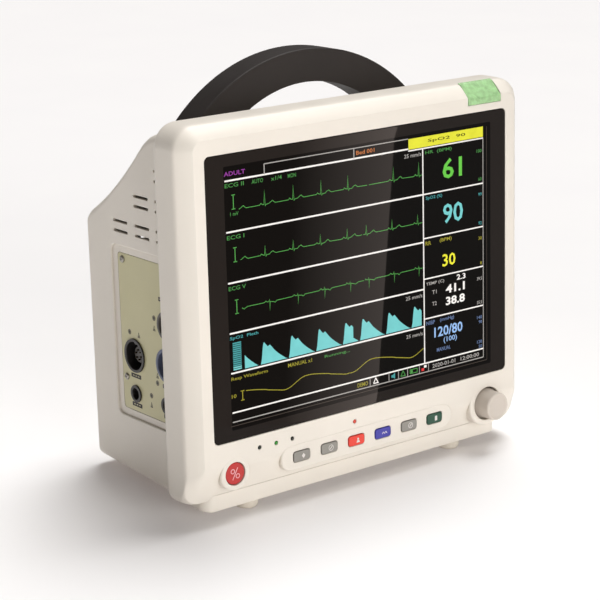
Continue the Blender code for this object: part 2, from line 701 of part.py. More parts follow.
def build_window():
    bm = bmesh.new()

    def pane(inset):
        return rounded(-WINDOW_HALF_WIDTH + inset, WINDOW_HALF_WIDTH - inset,
                       -WINDOW_HALF_HEIGHT + inset, WINDOW_HALF_HEIGHT - inset, WINDOW_CORNER - inset)

    soft_prism(bm, pane, along_y, 0.0, WINDOW_THICK, WINDOW_EDGE)
    publish("display_glass", bm, WINDOW_GLASS)

    bm = bmesh.new()
    outer = rounded(-WINDOW_HALF_WIDTH, WINDOW_HALF_WIDTH, -WINDOW_HALF_HEIGHT, WINDOW_HALF_HEIGHT,
                    WINDOW_CORNER)
    inner = rounded(-WINDOW_HALF_WIDTH + GASKET_WIDTH, WINDOW_HALF_WIDTH - GASKET_WIDTH,
                    -WINDOW_HALF_HEIGHT + GASKET_WIDTH, WINDOW_HALF_HEIGHT - GASKET_WIDTH, GASKET_CORNER)
    front = WINDOW_THICK + GAP
    ring(bm, [along_y(outer, front), along_y(outer, GASKET_BACK), along_y(inner, GASKET_BACK),
              along_y(inner, front)])
    publish("window_gasket", bm, SEAL_FOAM)

    bm = bmesh.new()
    block(bm, (-PANEL_HALF_WIDTH, PANEL_HALF_WIDTH), (PANEL_FRONT, PANEL_BACK),
          (-PANEL_HALF_HEIGHT, PANEL_HALF_HEIGHT), PANEL_CORNER)
    publish("lcd_panel", bm, PANEL_BACKING)


# ---------------------------------------------------------------- lamp, lights, keys, power button, knob

def build_lamp():
    bm = bmesh.new()
    prism(bm, list(LAMP_PROFILE), along_x, LAMP_LEFT, LAMP_RIGHT)
    publish("alarm_lamp", bm, LAMP_GREEN)
    bm = bmesh.new()
    middle = 0.5 * (LAMP_LEFT + LAMP_RIGHT)
    left, right = LAMP_BOARD_REACH
    block(bm, (middle - left, middle + right), (LAMP_BOARD_FRONT, LAMP_BOARD_FRONT + BOARD_THICK),
          LAMP_BOARD_HEIGHTS)
    publish("alarm_lamp_board", bm, BOARD_GREEN)


def build_lights():
    for name, x in LEDS.items():
        bm = bmesh.new()
        turned(bm, (x, LED_ROW), along_y, ((LED_RADIUS * 0.75, LED_FRONT), (LED_RADIUS, LED_SHOULDER),
                                           (LED_RADIUS, LED_BACK)), SMALL_STEPS)
        publish(name, bm, LED_COLOURS[name])


def build_keys():
    for number, x in enumerate(key_centres(), 1):

        def cap(inset):
            return rounded(x - 0.5 * KEY_WIDTH + inset, x + 0.5 * KEY_WIDTH - inset,
                           CONTROL_ROW - 0.5 * KEY_HEIGHT + inset, CONTROL_ROW + 0.5 * KEY_HEIGHT - inset,
                           KEY_CORNER - 0.5 * inset, steps=3)

        bm = bmesh.new()
        soft_prism(bm, cap, along_y, KEY_FRONT, KEY_DEPTH, KEY_EDGE)
        publish("function_key_%d" % number, bm, KEY_COLOURS[number - 1], (x, 0.0, CONTROL_ROW))

    left, right = KEYPAD_REACH
    bm = bmesh.new()
    block(bm, (STRIP_LEFT - left, STRIP_RIGHT + right), (KEYPAD_FRONT, KEYPAD_FRONT + BOARD_THICK),
          KEYPAD_HEIGHTS)
    board = publish("keypad_board", bm, BOARD_GREEN)
    half = KEY_SWITCH_HALF
    bm = bmesh.new()
    for x in key_centres():
        block(bm, (x - half, x + half), (KEY_SWITCH_FRONT, KEYPAD_FRONT + 0.5 * MM),
              (CONTROL_ROW - half, CONTROL_ROW + half))
    combine(board, guide("key_switches_guide", bm), "UNION")


def build_power_button():
    bm = bmesh.new()
    turned(bm, (POWER_X, CONTROL_ROW), along_y,
           ((POWER_RADIUS - POWER_EDGE, POWER_FRONT), (POWER_RADIUS, POWER_FRONT + POWER_EDGE),
            (POWER_RADIUS, POWER_BACK)), FINE_STEPS)
    publish("power_button", bm, POWER_RED, (POWER_X, 0.0, CONTROL_ROW))
    half = POWER_SWITCH_HALF
    bm = bmesh.new()
    block(bm, (POWER_X - half, POWER_X + half), POWER_SWITCH_DEPTHS, (CONTROL_ROW - half, CONTROL_ROW + half))
    switch = publish("power_switch", bm, SOCKET_PLASTIC)
    bm = bmesh.new()
    prism(bm, circle(POWER_X, CONTROL_ROW, PLUNGER_RADIUS, SMALL_STEPS), along_y, PLUNGER_FRONT,
          POWER_SWITCH_DEPTHS[0] + 0.5 * MM)
    combine(switch, guide("switch_plunger_guide", bm), "UNION")


def build_knob():
    pivot = (KNOB_X, 0.0, CONTROL_ROW)
    centre = (KNOB_X, CONTROL_ROW)
    bore = SHAFT_RADIUS + GAP
    bm = bmesh.new()
    turned(bm, centre, along_y, (
        (bore, KNOB_BORE_FRONT), (bore, KNOB_BACK), (KNOB_SKIRT_RADIUS, KNOB_BACK),
        (KNOB_SKIRT_RADIUS, KNOB_SKIRT_FRONT), (KNOB_RADIUS + KNOB_TAPER, 0.0),
        (KNOB_RADIUS, KNOB_FRONT + KNOB_EDGE), (KNOB_RADIUS - KNOB_EDGE, KNOB_FRONT)), FINE_STEPS)
    publish("encoder_knob", bm, CASE, pivot)
    front, collar, back = SHAFT_DEPTHS
    bm = bmesh.new()
    turned(bm, centre, along_y, ((SHAFT_RADIUS, front), (SHAFT_RADIUS, collar), (SHAFT_COLLAR, collar),
                                 (SHAFT_COLLAR, back)), 16)
    publish("encoder_shaft", bm, STEEL, pivot)
    half = ENCODER_HALF
    bm = bmesh.new()
    block(bm, (KNOB_X - half, KNOB_X + half), ENCODER_DEPTHS, (CONTROL_ROW - half, CONTROL_ROW + half))
    body = publish("encoder_body", bm, SOCKET_PLASTIC)
    bm = bmesh.new()
    prism(bm, circle(KNOB_X, CONTROL_ROW, ENCODER_BORE, 16), along_y, *ENCODER_BORE_DEPTHS)
    combine(body, guide("encoder_bore_guide", bm), "DIFFERENCE")


# ---------------------------------------------------------------- rear housing

def vent_boxes(bm, side):
    outer = side * (HOUSING_HALF_WIDTH + VENT_CUT[1])
    inner = side * (HOUSING_HALF_WIDTH - VENT_CUT[0])
    for high, columns in zip(VENT_PAIRS, VENT_COLUMNS_IN_PAIR):
        for row in range(2):
            z = high - VENT_PAIR_STEP * (row - 0.5)
            for back in VENT_COLUMNS[:columns]:
                front = max(back - VENT_LENGTH, HOUSING_FRONT + VENT_FRONT_LIMIT)
                block(bm, sorted((inner, outer)), (front, back),
                      (z - 0.5 * VENT_HEIGHT, z + 0.5 * VENT_HEIGHT))


def join_chin(housing):
    bm = bmesh.new()
    loft(bm, chin_loops(CHIN_HALF_WIDTH, CHIN_FRONT, CHIN_TOP, 0.0, CHIN_BACK))
    combine(housing, guide("chin_guide", bm), "UNION")
    half = CHIN_HALF_WIDTH - CHIN_WALL + 0.5 * MM
    bm = bmesh.new()
    block(bm, (-half, half), (CHIN_FRONT + CHIN_WALL, CHIN_HOLLOW_BACK),
          (CHIN_BOTTOM + CHIN_WALL, CHIN_TOP - WALL))
    combine(housing, guide("chin_hollow_guide", bm), "DIFFERENCE")


def join_pads(housing):
    """Thicker wall behind the plate's recess, and the pads that take the handle's screws."""
    (y0, y1), (z0, z1) = RECESS
    outside, inside = RECESS_PAD
    bm = bmesh.new()
    block(bm, (-HOUSING_HALF_WIDTH + outside, -HOUSING_HALF_WIDTH + inside),
          (HOUSING_FRONT + 0.2 * MM, y1 + WALL), (z0 - WALL, z1 + WALL))
    for x in (-HANDLE_SCREW_X, HANDLE_SCREW_X):
        plan = circle(x, HANDLE_SCREW_Y, HANDLE_PAD_RADIUS, 16)
        loft(bm, [along_z(plan, HANDLE_PAD_LOW), [(u, v, slope_height(v) - 0.5 * WALL) for u, v in plan]])
    bmesh.ops.triangulate(bm, faces=bm.faces)
    combine(housing, guide("housing_pads_guide", bm), "UNION")


def cut_plate_seat(housing):
    (y0, y1), (z0, z1) = RECESS
    outside = -HOUSING_HALF_WIDTH
    bm = bmesh.new()
    prism(bm, rounded(y0, y1, z0, z1, RECESS_CORNER), along_x, outside + CUT_FRONT, outside + RECESS_DEPTH)
    combine(housing, guide("plate_recess_guide", bm), "DIFFERENCE")
    (y0, y1), (z0, z1) = PLATE
    bm = bmesh.new()
    prism(bm, rounded(y0 - GAP, y1 + GAP, z0 - GAP, z1 + GAP, PLATE_CORNER), along_x,
          outside + RECESS_PAD[0], outside + RECESS_DEPTH + PLATE_THICK + GAP)
    combine(housing, guide("plate_seat_guide", bm), "DIFFERENCE")
    (y0, y1), (z0, z1) = SOCKET_OPENING
    bm = bmesh.new()
    prism(bm, rounded(y0, y1, z0, z1, PLATE_CORNER), along_x, outside, outside + SOCKET_DEPTH)
    for y, z in PLATE_SCREWS:
        if z > z1:
            prism(bm, circle(y, z, WALL_SCREW_HOLE, SMALL_STEPS), along_x, outside, outside + SOCKET_DEPTH)
    vent_boxes(bm, 1.0)
    combine(housing, guide("side_holes_guide", bm), "DIFFERENCE")


def cut_rear_wall(housing):
    """Opening for the rear panel, screw holes, cooling slots and the vents of the left side."""
    (left, right), (low, high) = PANEL_OPENING
    depths = (HOUSING_BACK - REAR_CUT[0], HOUSING_BACK + REAR_CUT[1])
    bm = bmesh.new()
    vent_boxes(bm, -1.0)
    block(bm, (left, right), depths, (low, high), PANEL_OPENING_CORNER)
    for x, z in POSTS:
        prism(bm, circle(x, z, HOUSING_SCREW_HOLE, SMALL_STEPS), along_y, *depths)
    half_w, half_h = SLOT_HALF
    for row in range(SLOT_ROWS):
        z = SLOT_FIRST[1] + SLOT_PITCH[1] * row
        for column in range(SLOT_COLUMNS):
            x = SLOT_FIRST[0] + SLOT_PITCH[0] * column
            block(bm, (x - half_w, x + half_w), depths, (z - half_h, z + half_h))
    combine(housing, guide("rear_holes_guide", bm), "DIFFERENCE")


def cut_underside(housing):
    """Opening for the battery door, and the holes for the handle's screws."""
    bm = bmesh.new()
    for x in (-HANDLE_SCREW_X, HANDLE_SCREW_X):
        prism(bm, circle(x, HANDLE_SCREW_Y, HANDLE_PAD_HOLE, SMALL_STEPS), along_z, *HANDLE_PAD_CUT)
    (x0, x1), (y0, y1) = DOOR
    block(bm, (x0, x1), (y0, y1), (underside(y0) - DOOR_CUT[0], underside(y1) + DOOR_CUT[1]))
    combine(housing, guide("door_opening_guide", bm), "DIFFERENCE")


def build_housing():
    outer = housing_loops(0.0, HOUSING_FRONT, HOUSING_BACK)
    inner = housing_loops(WALL, HOUSING_FRONT, HOUSING_BACK - WALL)
    bm = bmesh.new()
    loft(bm, outer[::-1] + inner)
    bmesh.ops.triangulate(bm, faces=bm.faces)
    housing = publish("rear_housing", bm, CASE)
    join_chin(housing)
    join_pads(housing)
    cut_plate_seat(housing)
    cut_rear_wall(housing)
    cut_underside(housing)


# ---------------------------------------------------------------- connector plate and sockets

PLATE_FACE = -HOUSING_HALF_WIDTH + RECESS_DEPTH


def build_plate():
    (y0, y1), (z0, z1) = PLATE
    bm = bmesh.new()
    prism(bm, rounded(y0, y1, z0, z1, PLATE_CORNER), along_x, PLATE_FACE, PLATE_FACE + PLATE_THICK)
    plate = publish("connector_plate", bm, PLATE_METAL)
    before, after = PLATE_CUT
    bm = bmesh.new()
    for y, z, radius in SOCKETS.values():
        prism(bm, circle(y, z, radius - SOCKET_HOLE), along_x, PLATE_FACE - before, PLATE_FACE + after)
    for y, z in PLATE_SCREWS:
        prism(bm, circle(y, z, PLATE_SCREW_HOLE, SMALL_STEPS), along_x, PLATE_FACE - before,
              PLATE_FACE + after)
    combine(plate, guide("plate_holes_guide", bm), "DIFFERENCE")

    top, rim = PLATE_SCREW_HEAD
    high, low = PLATE_SCREW_HIGH
    for number, (y, z) in enumerate(PLATE_SCREWS, 1):
        bm = bmesh.new()
        turned(bm, (y, z), along_x, (
            (top, PLATE_FACE - high), (rim, PLATE_FACE - low), (rim, PLATE_FACE - GAP),
            (PLATE_SCREW_SHANK, PLATE_FACE - GAP), (PLATE_SCREW_SHANK, PLATE_FACE + PLATE_SCREW_LENGTH)),
            SMALL_STEPS)
        publish("plate_screw_%d" % number, bm, STEEL)


def build_sockets():
    """Round cups with a flange on the plate; the plugs' pins are left out of the collision shape."""
    flange = PLATE_FACE - GAP
    face = flange - SOCKET_LIP
    end = PLATE_FACE + SOCKET_DEPTH
    for name, (y, z, radius) in SOCKETS.items():
        throat = radius - SOCKET_THROAT
        barrel = radius - SOCKET_BARREL
        bm = bmesh.new()
        turned(bm, (y, z), along_x, (
            (throat, end - SOCKET_FLOOR), (throat, face), (radius - SOCKET_RIM, face),
            (radius, face + SOCKET_RIM), (radius, flange), (barrel, flange), (barrel, end)))
        publish(name, bm, SOCKET_BLUE if name == "spo2_socket" else SOCKET_PLASTIC)


# ---------------------------------------------------------------- handle

def handle_arcs():
    """Points of the outer and inner arcs of the handle, from the right foot to the left."""
    arcs = []
    for centre, radius in (HANDLE_OUTER, HANDLE_INNER):
        start = math.asin((HANDLE_FOOT - centre) / radius)
        points = []
        for i in range(HANDLE_STEPS + 1):
            angle = start + (math.pi - 2.0 * start) * i / HANDLE_STEPS
            points.append(Vector((radius * math.cos(angle), 0.0, centre + radius * math.sin(angle))))
        arcs.append(points)
    return zip(*arcs)


def handle_section(outer, inner):
    """Section of the arch between a point of each arc: a rectangle with cut corners."""
    across = (inner - outer).normalized() * HANDLE_EDGE
    front = Vector((0.0, HANDLE_FRONT, 0.0))
    back = Vector((0.0, HANDLE_BACK, 0.0))
    edge = Vector((0.0, HANDLE_EDGE, 0.0))
    return [
        outer + across + front, outer + front + edge, outer + back - edge, outer + across + back,
        inner - across + back, inner + back - edge, inner + front + edge, inner - across + front,
    ]


def build_handle():
    bm = bmesh.new()
    loft(bm, [handle_section(outer, inner) for outer, inner in handle_arcs()])
    handle = publish("carry_handle", bm, HANDLE_PLASTIC)
    bm = bmesh.new()
    loft(bm, housing_loops(-GAP, HOUSING_FRONT, HOUSING_BACK))
    combine(handle, guide("handle_seat_guide", bm), "DIFFERENCE")
    radius, top = HANDLE_HOLE
    bm = bmesh.new()
    for x in (-HANDLE_SCREW_X, HANDLE_SCREW_X):
        prism(bm, circle(x, HANDLE_SCREW_Y, radius, SMALL_STEPS), along_z, HANDLE_PAD_LOW, top)
    combine(handle, guide("handle_screw_holes_guide", bm), "DIFFERENCE")

    seat = HANDLE_PAD_LOW - GAP
    shank, tip = HANDLE_SCREW_SHANK
    for name, x in (("handle_screw_left", -HANDLE_SCREW_X), ("handle_screw_right", HANDLE_SCREW_X)):
        bm = bmesh.new()
        turned(bm, (x, HANDLE_SCREW_Y), along_z, (
            (HANDLE_SCREW_HEAD - HANDLE_SCREW_EDGE, seat - HANDLE_SCREW_HIGH),
            (HANDLE_SCREW_HEAD, seat - HANDLE_SCREW_HIGH + HANDLE_SCREW_EDGE), (HANDLE_SCREW_HEAD, seat),
            (shank, seat), (shank, tip)), SMALL_STEPS)
        publish(name, bm, STEEL)


# ---------------------------------------------------------------- inner frame, boards and modules

def build_frame():
    """Chassis plate behind the panel, with four posts that reach the rear wall."""
    width, height = FRAME_SIZE
    bm = bmesh.new()
    block(bm, width, (FRAME_FRONT, FRAME_FRONT + FRAME_THICK), height, FRAME_CORNER)
    frame = publish("chassis_frame", bm, STEEL)
    bm = bmesh.new()
    for x, z in POSTS:
        prism(bm, circle(x, z, POST_RADIUS, SMALL_STEPS), along_y, FRAME_FRONT + 0.5 * MM,
              HOUSING_BACK - WALL - GAP)
    combine(frame, guide("frame_posts_guide", bm), "UNION")
    half_w, half_h, corner = FRAME_WINDOW
    bm = bmesh.new()
    for x, z in POSTS:
        prism(bm, circle(x, z, POST_BORE, SMALL_STEPS), along_y, HOUSING_BACK - POST_BORE_LENGTH, HOUSING_BACK)
    prism(bm, rounded(-half_w, half_w, -half_h, half_h, corner), along_y, *FRAME_CUT)
    combine(frame, guide("frame_holes_guide", bm), "DIFFERENCE")

    top, rim = HOUSING_SCREW_HEAD
    high, low = HOUSING_SCREW_HIGH
    shank = HOUSING_SCREW_SHANK
    for number, (x, z) in enumerate(POSTS, 1):
        bm = bmesh.new()
        turned(bm, (x, z), along_y, (
            (top, HOUSING_BACK + high), (rim, HOUSING_BACK + low), (rim, HOUSING_BACK + GAP),
            (shank, HOUSING_BACK + GAP), (shank, HOUSING_BACK - HOUSING_SCREW_LENGTH)), SMALL_STEPS)
        publish("housing_screw_%d" % number, bm, STEEL)


def build_modules():
    """Main board, parameter module, air pump, power supply, battery pack and loudspeaker."""
    width, height = MAIN_BOARD
    bm = bmesh.new()
    block(bm, width, (MAIN_BOARD_FRONT, MAIN_BOARD_FRONT + BOARD_THICK), height)
    board = publish("main_board", bm, BOARD_GREEN)
    bm = bmesh.new()
    for x, z, half in CHIPS:
        block(bm, (x - half, x + half), CHIP_DEPTHS, (z - half, z + half))
    combine(board, guide("board_chips_guide", bm), "UNION")
    for name, limits in (("parameter_module", PARAMETER_MODULE), ("power_supply", POWER_SUPPLY)):
        bm = bmesh.new()
        block(bm, *limits, MODULE_CORNER)
        publish(name, bm, PANEL_BACKING)
    for name, centre, profile, steps, finish in (
            ("nibp_pump", PUMP_AT, PUMP_PROFILE, 16, STEEL),
            ("speaker", SPEAKER_AT, SPEAKER_PROFILE, 20, SOCKET_PLASTIC)):
        bm = bmesh.new()
        turned(bm, centre, along_y, profile, steps)
        publish(name, bm, finish)
    (x0, x1), (y0, y1) = DOOR
    margin = BATTERY_MARGIN
    bm = bmesh.new()
    block(bm, (x0 + margin, x1 - margin), (y0 + margin, y1 - margin), BATTERY_HEIGHTS, BATTERY_CORNER)
    publish("battery_pack", bm, BATTERY_WRAP)


def build_battery_door():
    (x0, x1), (y0, y1) = DOOR
    bm = bmesh.new()
    loops = []
    for x in (x0 + GAP, x1 - GAP):
        loops.append([(x, y0 + GAP, underside(y0)), (x, y1 - GAP, underside(y1)),
                      (x, y1 - GAP, underside(y1) + DOOR_THICK), (x, y0 + GAP, underside(y0) + DOOR_THICK)])
    loft(bm, loops)
    publish("battery_door", bm, CASE)


REAR_PANEL_BACK = HOUSING_BACK - WALL - GAP
REAR_PANEL_FRONT = REAR_PANEL_BACK - REAR_PANEL_THICK
REAR_ROW = 0.5 * (PANEL_OPENING[1][0] + PANEL_OPENING[1][1])


def behind_panel(bm, x, half, depths, corner=0.0, z=REAR_ROW):
    """Block around a point of the rear panel, reaching in front of and behind the panel."""
    half_w, half_h = half
    before, after = depths
    block(bm, (x - half_w, x + half_w), (REAR_PANEL_FRONT - before, REAR_PANEL_BACK + after),
          (z - half_h, z + half_h), corner)


def build_rear_panel():
    (left, right), (low, high) = PANEL_OPENING
    margin = REAR_PANEL_MARGIN
    bm = bmesh.new()
    block(bm, (left - margin, right + margin), (REAR_PANEL_FRONT, REAR_PANEL_BACK),
          (low - margin, high + margin))
    panel = publish("rear_panel", bm, PLATE_METAL)
    bm = bmesh.new()
    for x, half_w, half_h in (INLET_CUT, FUSE_CUT, PORT_CUT):
        behind_panel(bm, x, (half_w, half_h), (PANEL_CUT, PANEL_CUT))
    prism(bm, circle(STUD_X, REAR_ROW, STUD_HOLE, SMALL_STEPS), along_y, REAR_PANEL_FRONT - PANEL_CUT,
          REAR_PANEL_BACK + PANEL_CUT)
    combine(panel, guide("rear_panel_holes_guide", bm), "DIFFERENCE")


def build_inlet():
    x = INLET_CUT[0]
    bm = bmesh.new()
    behind_panel(bm, x, INLET_HALF, INLET_DEPTHS, INLET_CORNER)
    inlet = publish("mains_inlet", bm, SOCKET_PLASTIC)
    bm = bmesh.new()
    behind_panel(bm, x, INLET_WELL, INLET_WELL_DEPTHS, INLET_CORNER)
    combine(inlet, guide("inlet_well_guide", bm), "DIFFERENCE")
    half_w, half_h = INLET_PIN_HALF
    front, back = INLET_PIN_DEPTHS
    bm = bmesh.new()
    for u, v in INLET_PINS:
        z = REAR_ROW + v
        block(bm, (x + u - half_w, x + u + half_w), (REAR_PANEL_FRONT - front, REAR_PANEL_FRONT - back),
              (z - half_h, z + half_h))
    combine(inlet, guide("inlet_pins_guide", bm), "UNION")


def build_rear_fittings():
    """Fuse holder, network port and ground stud."""
    bm = bmesh.new()
    profile = []
    for radius, at in FUSE_PROFILE:
        profile.append((radius, (REAR_PANEL_FRONT if at < 0.0 else REAR_PANEL_BACK) + at))
    turned(bm, (FUSE_CUT[0], REAR_ROW), along_y, profile, 16)
    publish("fuse_holder", bm, SOCKET_PLASTIC)

    bm = bmesh.new()
    behind_panel(bm, PORT_CUT[0], PORT_HALF, PORT_DEPTHS)
    port = publish("network_port", bm, STEEL)
    bm = bmesh.new()
    behind_panel(bm, PORT_CUT[0], PORT_WELL, PORT_WELL_DEPTHS)
    combine(port, guide("network_port_well_guide", bm), "DIFFERENCE")

    profile = [(STUD_RADIUS, REAR_PANEL_FRONT - STUD_LENGTH), (STUD_RADIUS, REAR_PANEL_BACK + GAP),
               (STUD_NUT, REAR_PANEL_BACK + GAP)]
    profile += [(radius, REAR_PANEL_BACK + at) for at, radius in STUD_END]
    bm = bmesh.new()
    turned(bm, (STUD_X, REAR_ROW), along_y, profile, SMALL_STEPS)
    publish("ground_stud", bm, STEEL)


# ---------------------------------------------------------------- feet

def from_monitor(point):
    """A point in the monitor's frame, as it stands on the table."""
    lean = Matrix.Rotation(-STANCE_LEAN, 3, "X")
    return lean @ Vector(point) + stance.location


def build_feet():
    """Feet stand upright on the table, so they are not leaned with the rest."""
    front_x, front_y = FRONT_FOOT
    rear_x, rear_y = REAR_FOOT
    spots = {
        "front_foot_left": ((-front_x, front_y, chin_underside(front_y)), FRONT_FOOT_CLEARANCE),
        "front_foot_right": ((front_x, front_y, chin_underside(front_y)), FRONT_FOOT_CLEARANCE),
        "rear_foot_left": ((-rear_x, rear_y, underside(rear_y)), GAP),
        "rear_foot_right": ((rear_x, rear_y, underside(rear_y)), GAP),
    }
    for name, (spot, clearance) in spots.items():
        top = from_monitor(spot)
        bm = bmesh.new()
        turned(bm, (top.x, top.y), along_z, (
            (FOOT_RADIUS - 1.6 * FOOT_RIM, 0.0), (FOOT_RADIUS - 0.5 * FOOT_RIM, 0.4 * FOOT_RIM),
            (FOOT_RADIUS, 1.6 * FOOT_RIM), (FOOT_RADIUS, top.z - clearance)))
        foot = publish(name, bm, RUBBER)
        foot.parent = None


def main():
    build_bezel()
    build_window()
    build_lamp()
    build_lights()
    build_keys()
    build_power_button()
    build_knob()
    build_housing()
    build_plate()
    build_sockets()
    build_handle()
    build_frame()
    build_modules()
    build_battery_door()
    build_rear_panel()
    build_inlet()
    build_rear_fittings()
    build_feet()
    bpy.context.view_layer.update()


main()
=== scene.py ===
"""Looks of the bedside patient monitor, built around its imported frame.

Shapes are laid out in the monitor's own frame: the origin is the centre of the display window's front
face, X to the viewer's right, Y to the back, Z up the window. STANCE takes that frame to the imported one.
"""
import json
import math

import bmesh
import bpy
from mathutils import Matrix, Vector


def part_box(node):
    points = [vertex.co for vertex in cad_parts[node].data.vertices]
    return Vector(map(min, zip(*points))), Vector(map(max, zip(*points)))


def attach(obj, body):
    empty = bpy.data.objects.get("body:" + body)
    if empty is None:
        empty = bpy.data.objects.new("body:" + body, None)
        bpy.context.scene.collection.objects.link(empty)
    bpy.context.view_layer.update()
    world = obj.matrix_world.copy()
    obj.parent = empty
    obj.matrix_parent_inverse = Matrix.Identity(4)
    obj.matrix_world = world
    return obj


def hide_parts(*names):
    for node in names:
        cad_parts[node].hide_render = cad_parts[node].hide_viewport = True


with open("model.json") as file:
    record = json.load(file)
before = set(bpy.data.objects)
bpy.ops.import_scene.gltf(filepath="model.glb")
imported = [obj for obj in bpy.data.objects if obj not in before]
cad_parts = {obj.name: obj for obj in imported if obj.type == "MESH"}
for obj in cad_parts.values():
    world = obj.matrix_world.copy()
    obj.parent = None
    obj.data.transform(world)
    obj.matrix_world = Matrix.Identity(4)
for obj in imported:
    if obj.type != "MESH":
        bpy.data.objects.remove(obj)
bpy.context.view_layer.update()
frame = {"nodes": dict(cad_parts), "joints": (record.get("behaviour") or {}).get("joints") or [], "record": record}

SLOT_OF = {row["node"]: row["material_slot"] for row in frame["record"]["subparts"]}
MM = 0.001

# Window and display
WINDOW_HALF_W = 0.14175
WINDOW_HALF_H = 0.1048
WINDOW_CORNER = 0.004
WINDOW_THICK = 0.0027
WINDOW_LEDGE = 0.0038
GAP = 0.0003
CLEAR_HALF_W = 0.1262
CLEAR_LOW = -0.0968
CLEAR_HIGH = 0.0962
PICTURE_RISE = 0.01
PICTURE_SCALE = 0.99649
PICTURE_SHIFT = (-3.26, 1.30)

# Bezel
HALF_W = 0.1615
BEND_START = -0.120
BEND_END = -0.1291
BEND_DEPTH = 0.0022
LOWER_SLOPE = 0.51
BEZEL_BOTTOM = -0.151
BEZEL_TOP = 0.127
BEZEL_BACK = 0.0386
BACK_ROUND = 0.008
WALL = 0.0025

# Controls
ROW_Z = -0.1298
POWER_X = -0.1247
POWER_R = 0.0084
KEY_X = -0.0643
KEY_PITCH = 0.02612
KEY_W = 0.0152
KEY_H = 0.0078
KNOB_X = 0.1224
LED_Z = -0.1149
LED_XS = {"led_mains": -0.1022, "led_power": -0.0871, "led_battery": -0.0722, "led_alarm": -0.0129}
KEY_FACE = -0.0010
LAMP_X = (0.1036, 0.137)
RING_FACE = -0.0003
RING_BACK = 0.0112
POWER_RING = 0.0128
KNOB_RING = 0.0182
KNOB_WELL = 0.0134
SHAFT_HOLE = 0.0045
LED_HOLE = 0.0017

# Housing
HOUSE_HALF_W = 0.1452
HOUSE_FRONT = 0.0389
HOUSE_BACK = 0.1553
HOUSE_LOW = -0.1496
SLOPE_TOP = (0.0765, 0.1044)
SLOPE_END = (0.1490, 0.0462)
SLOPE_SAG = 0.0042
CHIN_FRONT = 0.0115
CHIN_TOP = -0.1475
CHIN_LOW = -0.1602
CHIN_HALF_W = 0.1443
CHIN_BACK = 0.0414
POSTS = ((-0.125, -0.085), (0.125, -0.085), (-0.125, 0.014), (0.125, 0.014))
HANDLE_SCREW_X = 0.092
SIDE_VENTS = ((0.0838, 1), (0.0616, 2), (0.0394, 3))
SIDE_VENT_BACKS = (0.0599, 0.0877, 0.1165)
SIDE_VENT_LONG = 0.0192
SIDE_VENT_PAIR = 0.0075
SIDE_VENT_HALF = 0.0010
BACK_VENT_HALF = (0.020, 0.0015)
REAR_OPENING = (-0.030, 0.118, -0.140, -0.096)
DOOR_SIDES = (-0.075, 0.035)
DOOR_DEPTHS = (0.060, 0.132)

# Connector side: outlines are (front, back, low, high), and a socket is (depth, height, radius)
POCKET = (0.0204, 0.1218, -0.1075, 0.0245)
PLATE_FACE = -0.1432
PLATE_SHEET = (0.0410, 0.1155, -0.1020, 0.0186)
PLATE_CORNER = 0.003
SOCKET_OPENING = (0.0435, 0.1115, -0.0972, -0.0135)
PLATE_SCREWS = ((0.1090, 0.0140), (0.1098, -0.0770), (0.0480, 0.0140), (0.0452, -0.0770))
SOCKETS = {
    "ecg_socket": (0.0977, -0.0583, 0.0130),
    "spo2_socket": (0.0554, -0.0571, 0.0129),
    "nibp_socket": (0.0535, -0.0267, 0.0113),
    "temp_socket_1": (0.0978, -0.0880, 0.0067),
    "temp_socket_2": (0.0570, -0.0882, 0.0067),
}

# Camera, in the monitor's own frame, and the edge of the glare across the window, from top to bottom
CAMERA_AT = (-0.92829, -1.13420, 0.36994)
CAMERA_AHEAD = (0.58708, 0.76856, -0.25425)
CAMERA_RIGHT = (0.79040, -0.61207, -0.02512)
CAMERA_LENS = 121.984
CAMERA_SHIFT = (0.0003, -0.0130)
GLARE_TOP = (0.0306, 0.0, 0.105)
GLARE_LOW = (0.0091, 0.0, -0.1043)
GLARE_BRIGHT = 9.5
GLARE_SPREAD = (0.0755, 0.124)
CARD_HEIGHT = 0.003
CARD_WIDTH = 0.45
CARD_LENGTH = 1.3
CARD_MORE = 0.06

# Studio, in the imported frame
STAGE_SIZE = 8.0
FLOOR_Z = -0.0002
FLAG_X = 0.42
FLAG_DEPTHS = (-0.9, 0.7)
FLAG_HIGH = 0.9
LIGHT_AT = (-0.25, -2.5, 0.6)
LIGHT_AIM = (0.0, 0.0, 0.15)
LIGHT_SIZE = (1.5, 1.4)
LIGHT_POWER = 38.0
SUN_WIDTH = math.radians(34.0)
SUN_POWER = 3.05
SUN_TURN = (math.radians(-9.0), math.radians(20.0), 0.0)


def find_stance():
    """The lean comes from the push axis, and the origin from the window's box."""
    axis = Vector(frame["joints"][0]["axis"])
    lean = math.atan2(-axis.z, axis.y)
    low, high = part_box("display_glass")
    centre_y = 0.5 * (low.y + high.y) - 0.5 * WINDOW_THICK * math.cos(lean)
    centre_z = 0.5 * (low.z + high.z) + 0.5 * WINDOW_THICK * math.sin(lean)
    return Matrix.Translation((0.0, centre_y, centre_z)) @ Matrix.Rotation(-lean, 4, "X"), lean


STANCE, LEAN = find_stance()
RISE = math.tan(LEAN)


# ---------------------------------------------------------------- materials

BLACK = (0.0, 0.0, 0.0, 1.0)


def srgb(r, g, b):
    """Screen colour from 0 to 255, as linear light."""
    def one(c):
        c /= 255.0
        return c / 12.92 if c <= 0.04045 else ((c + 0.055) / 1.055) ** 2.4
    return (one(r), one(g), one(b), 1.0)


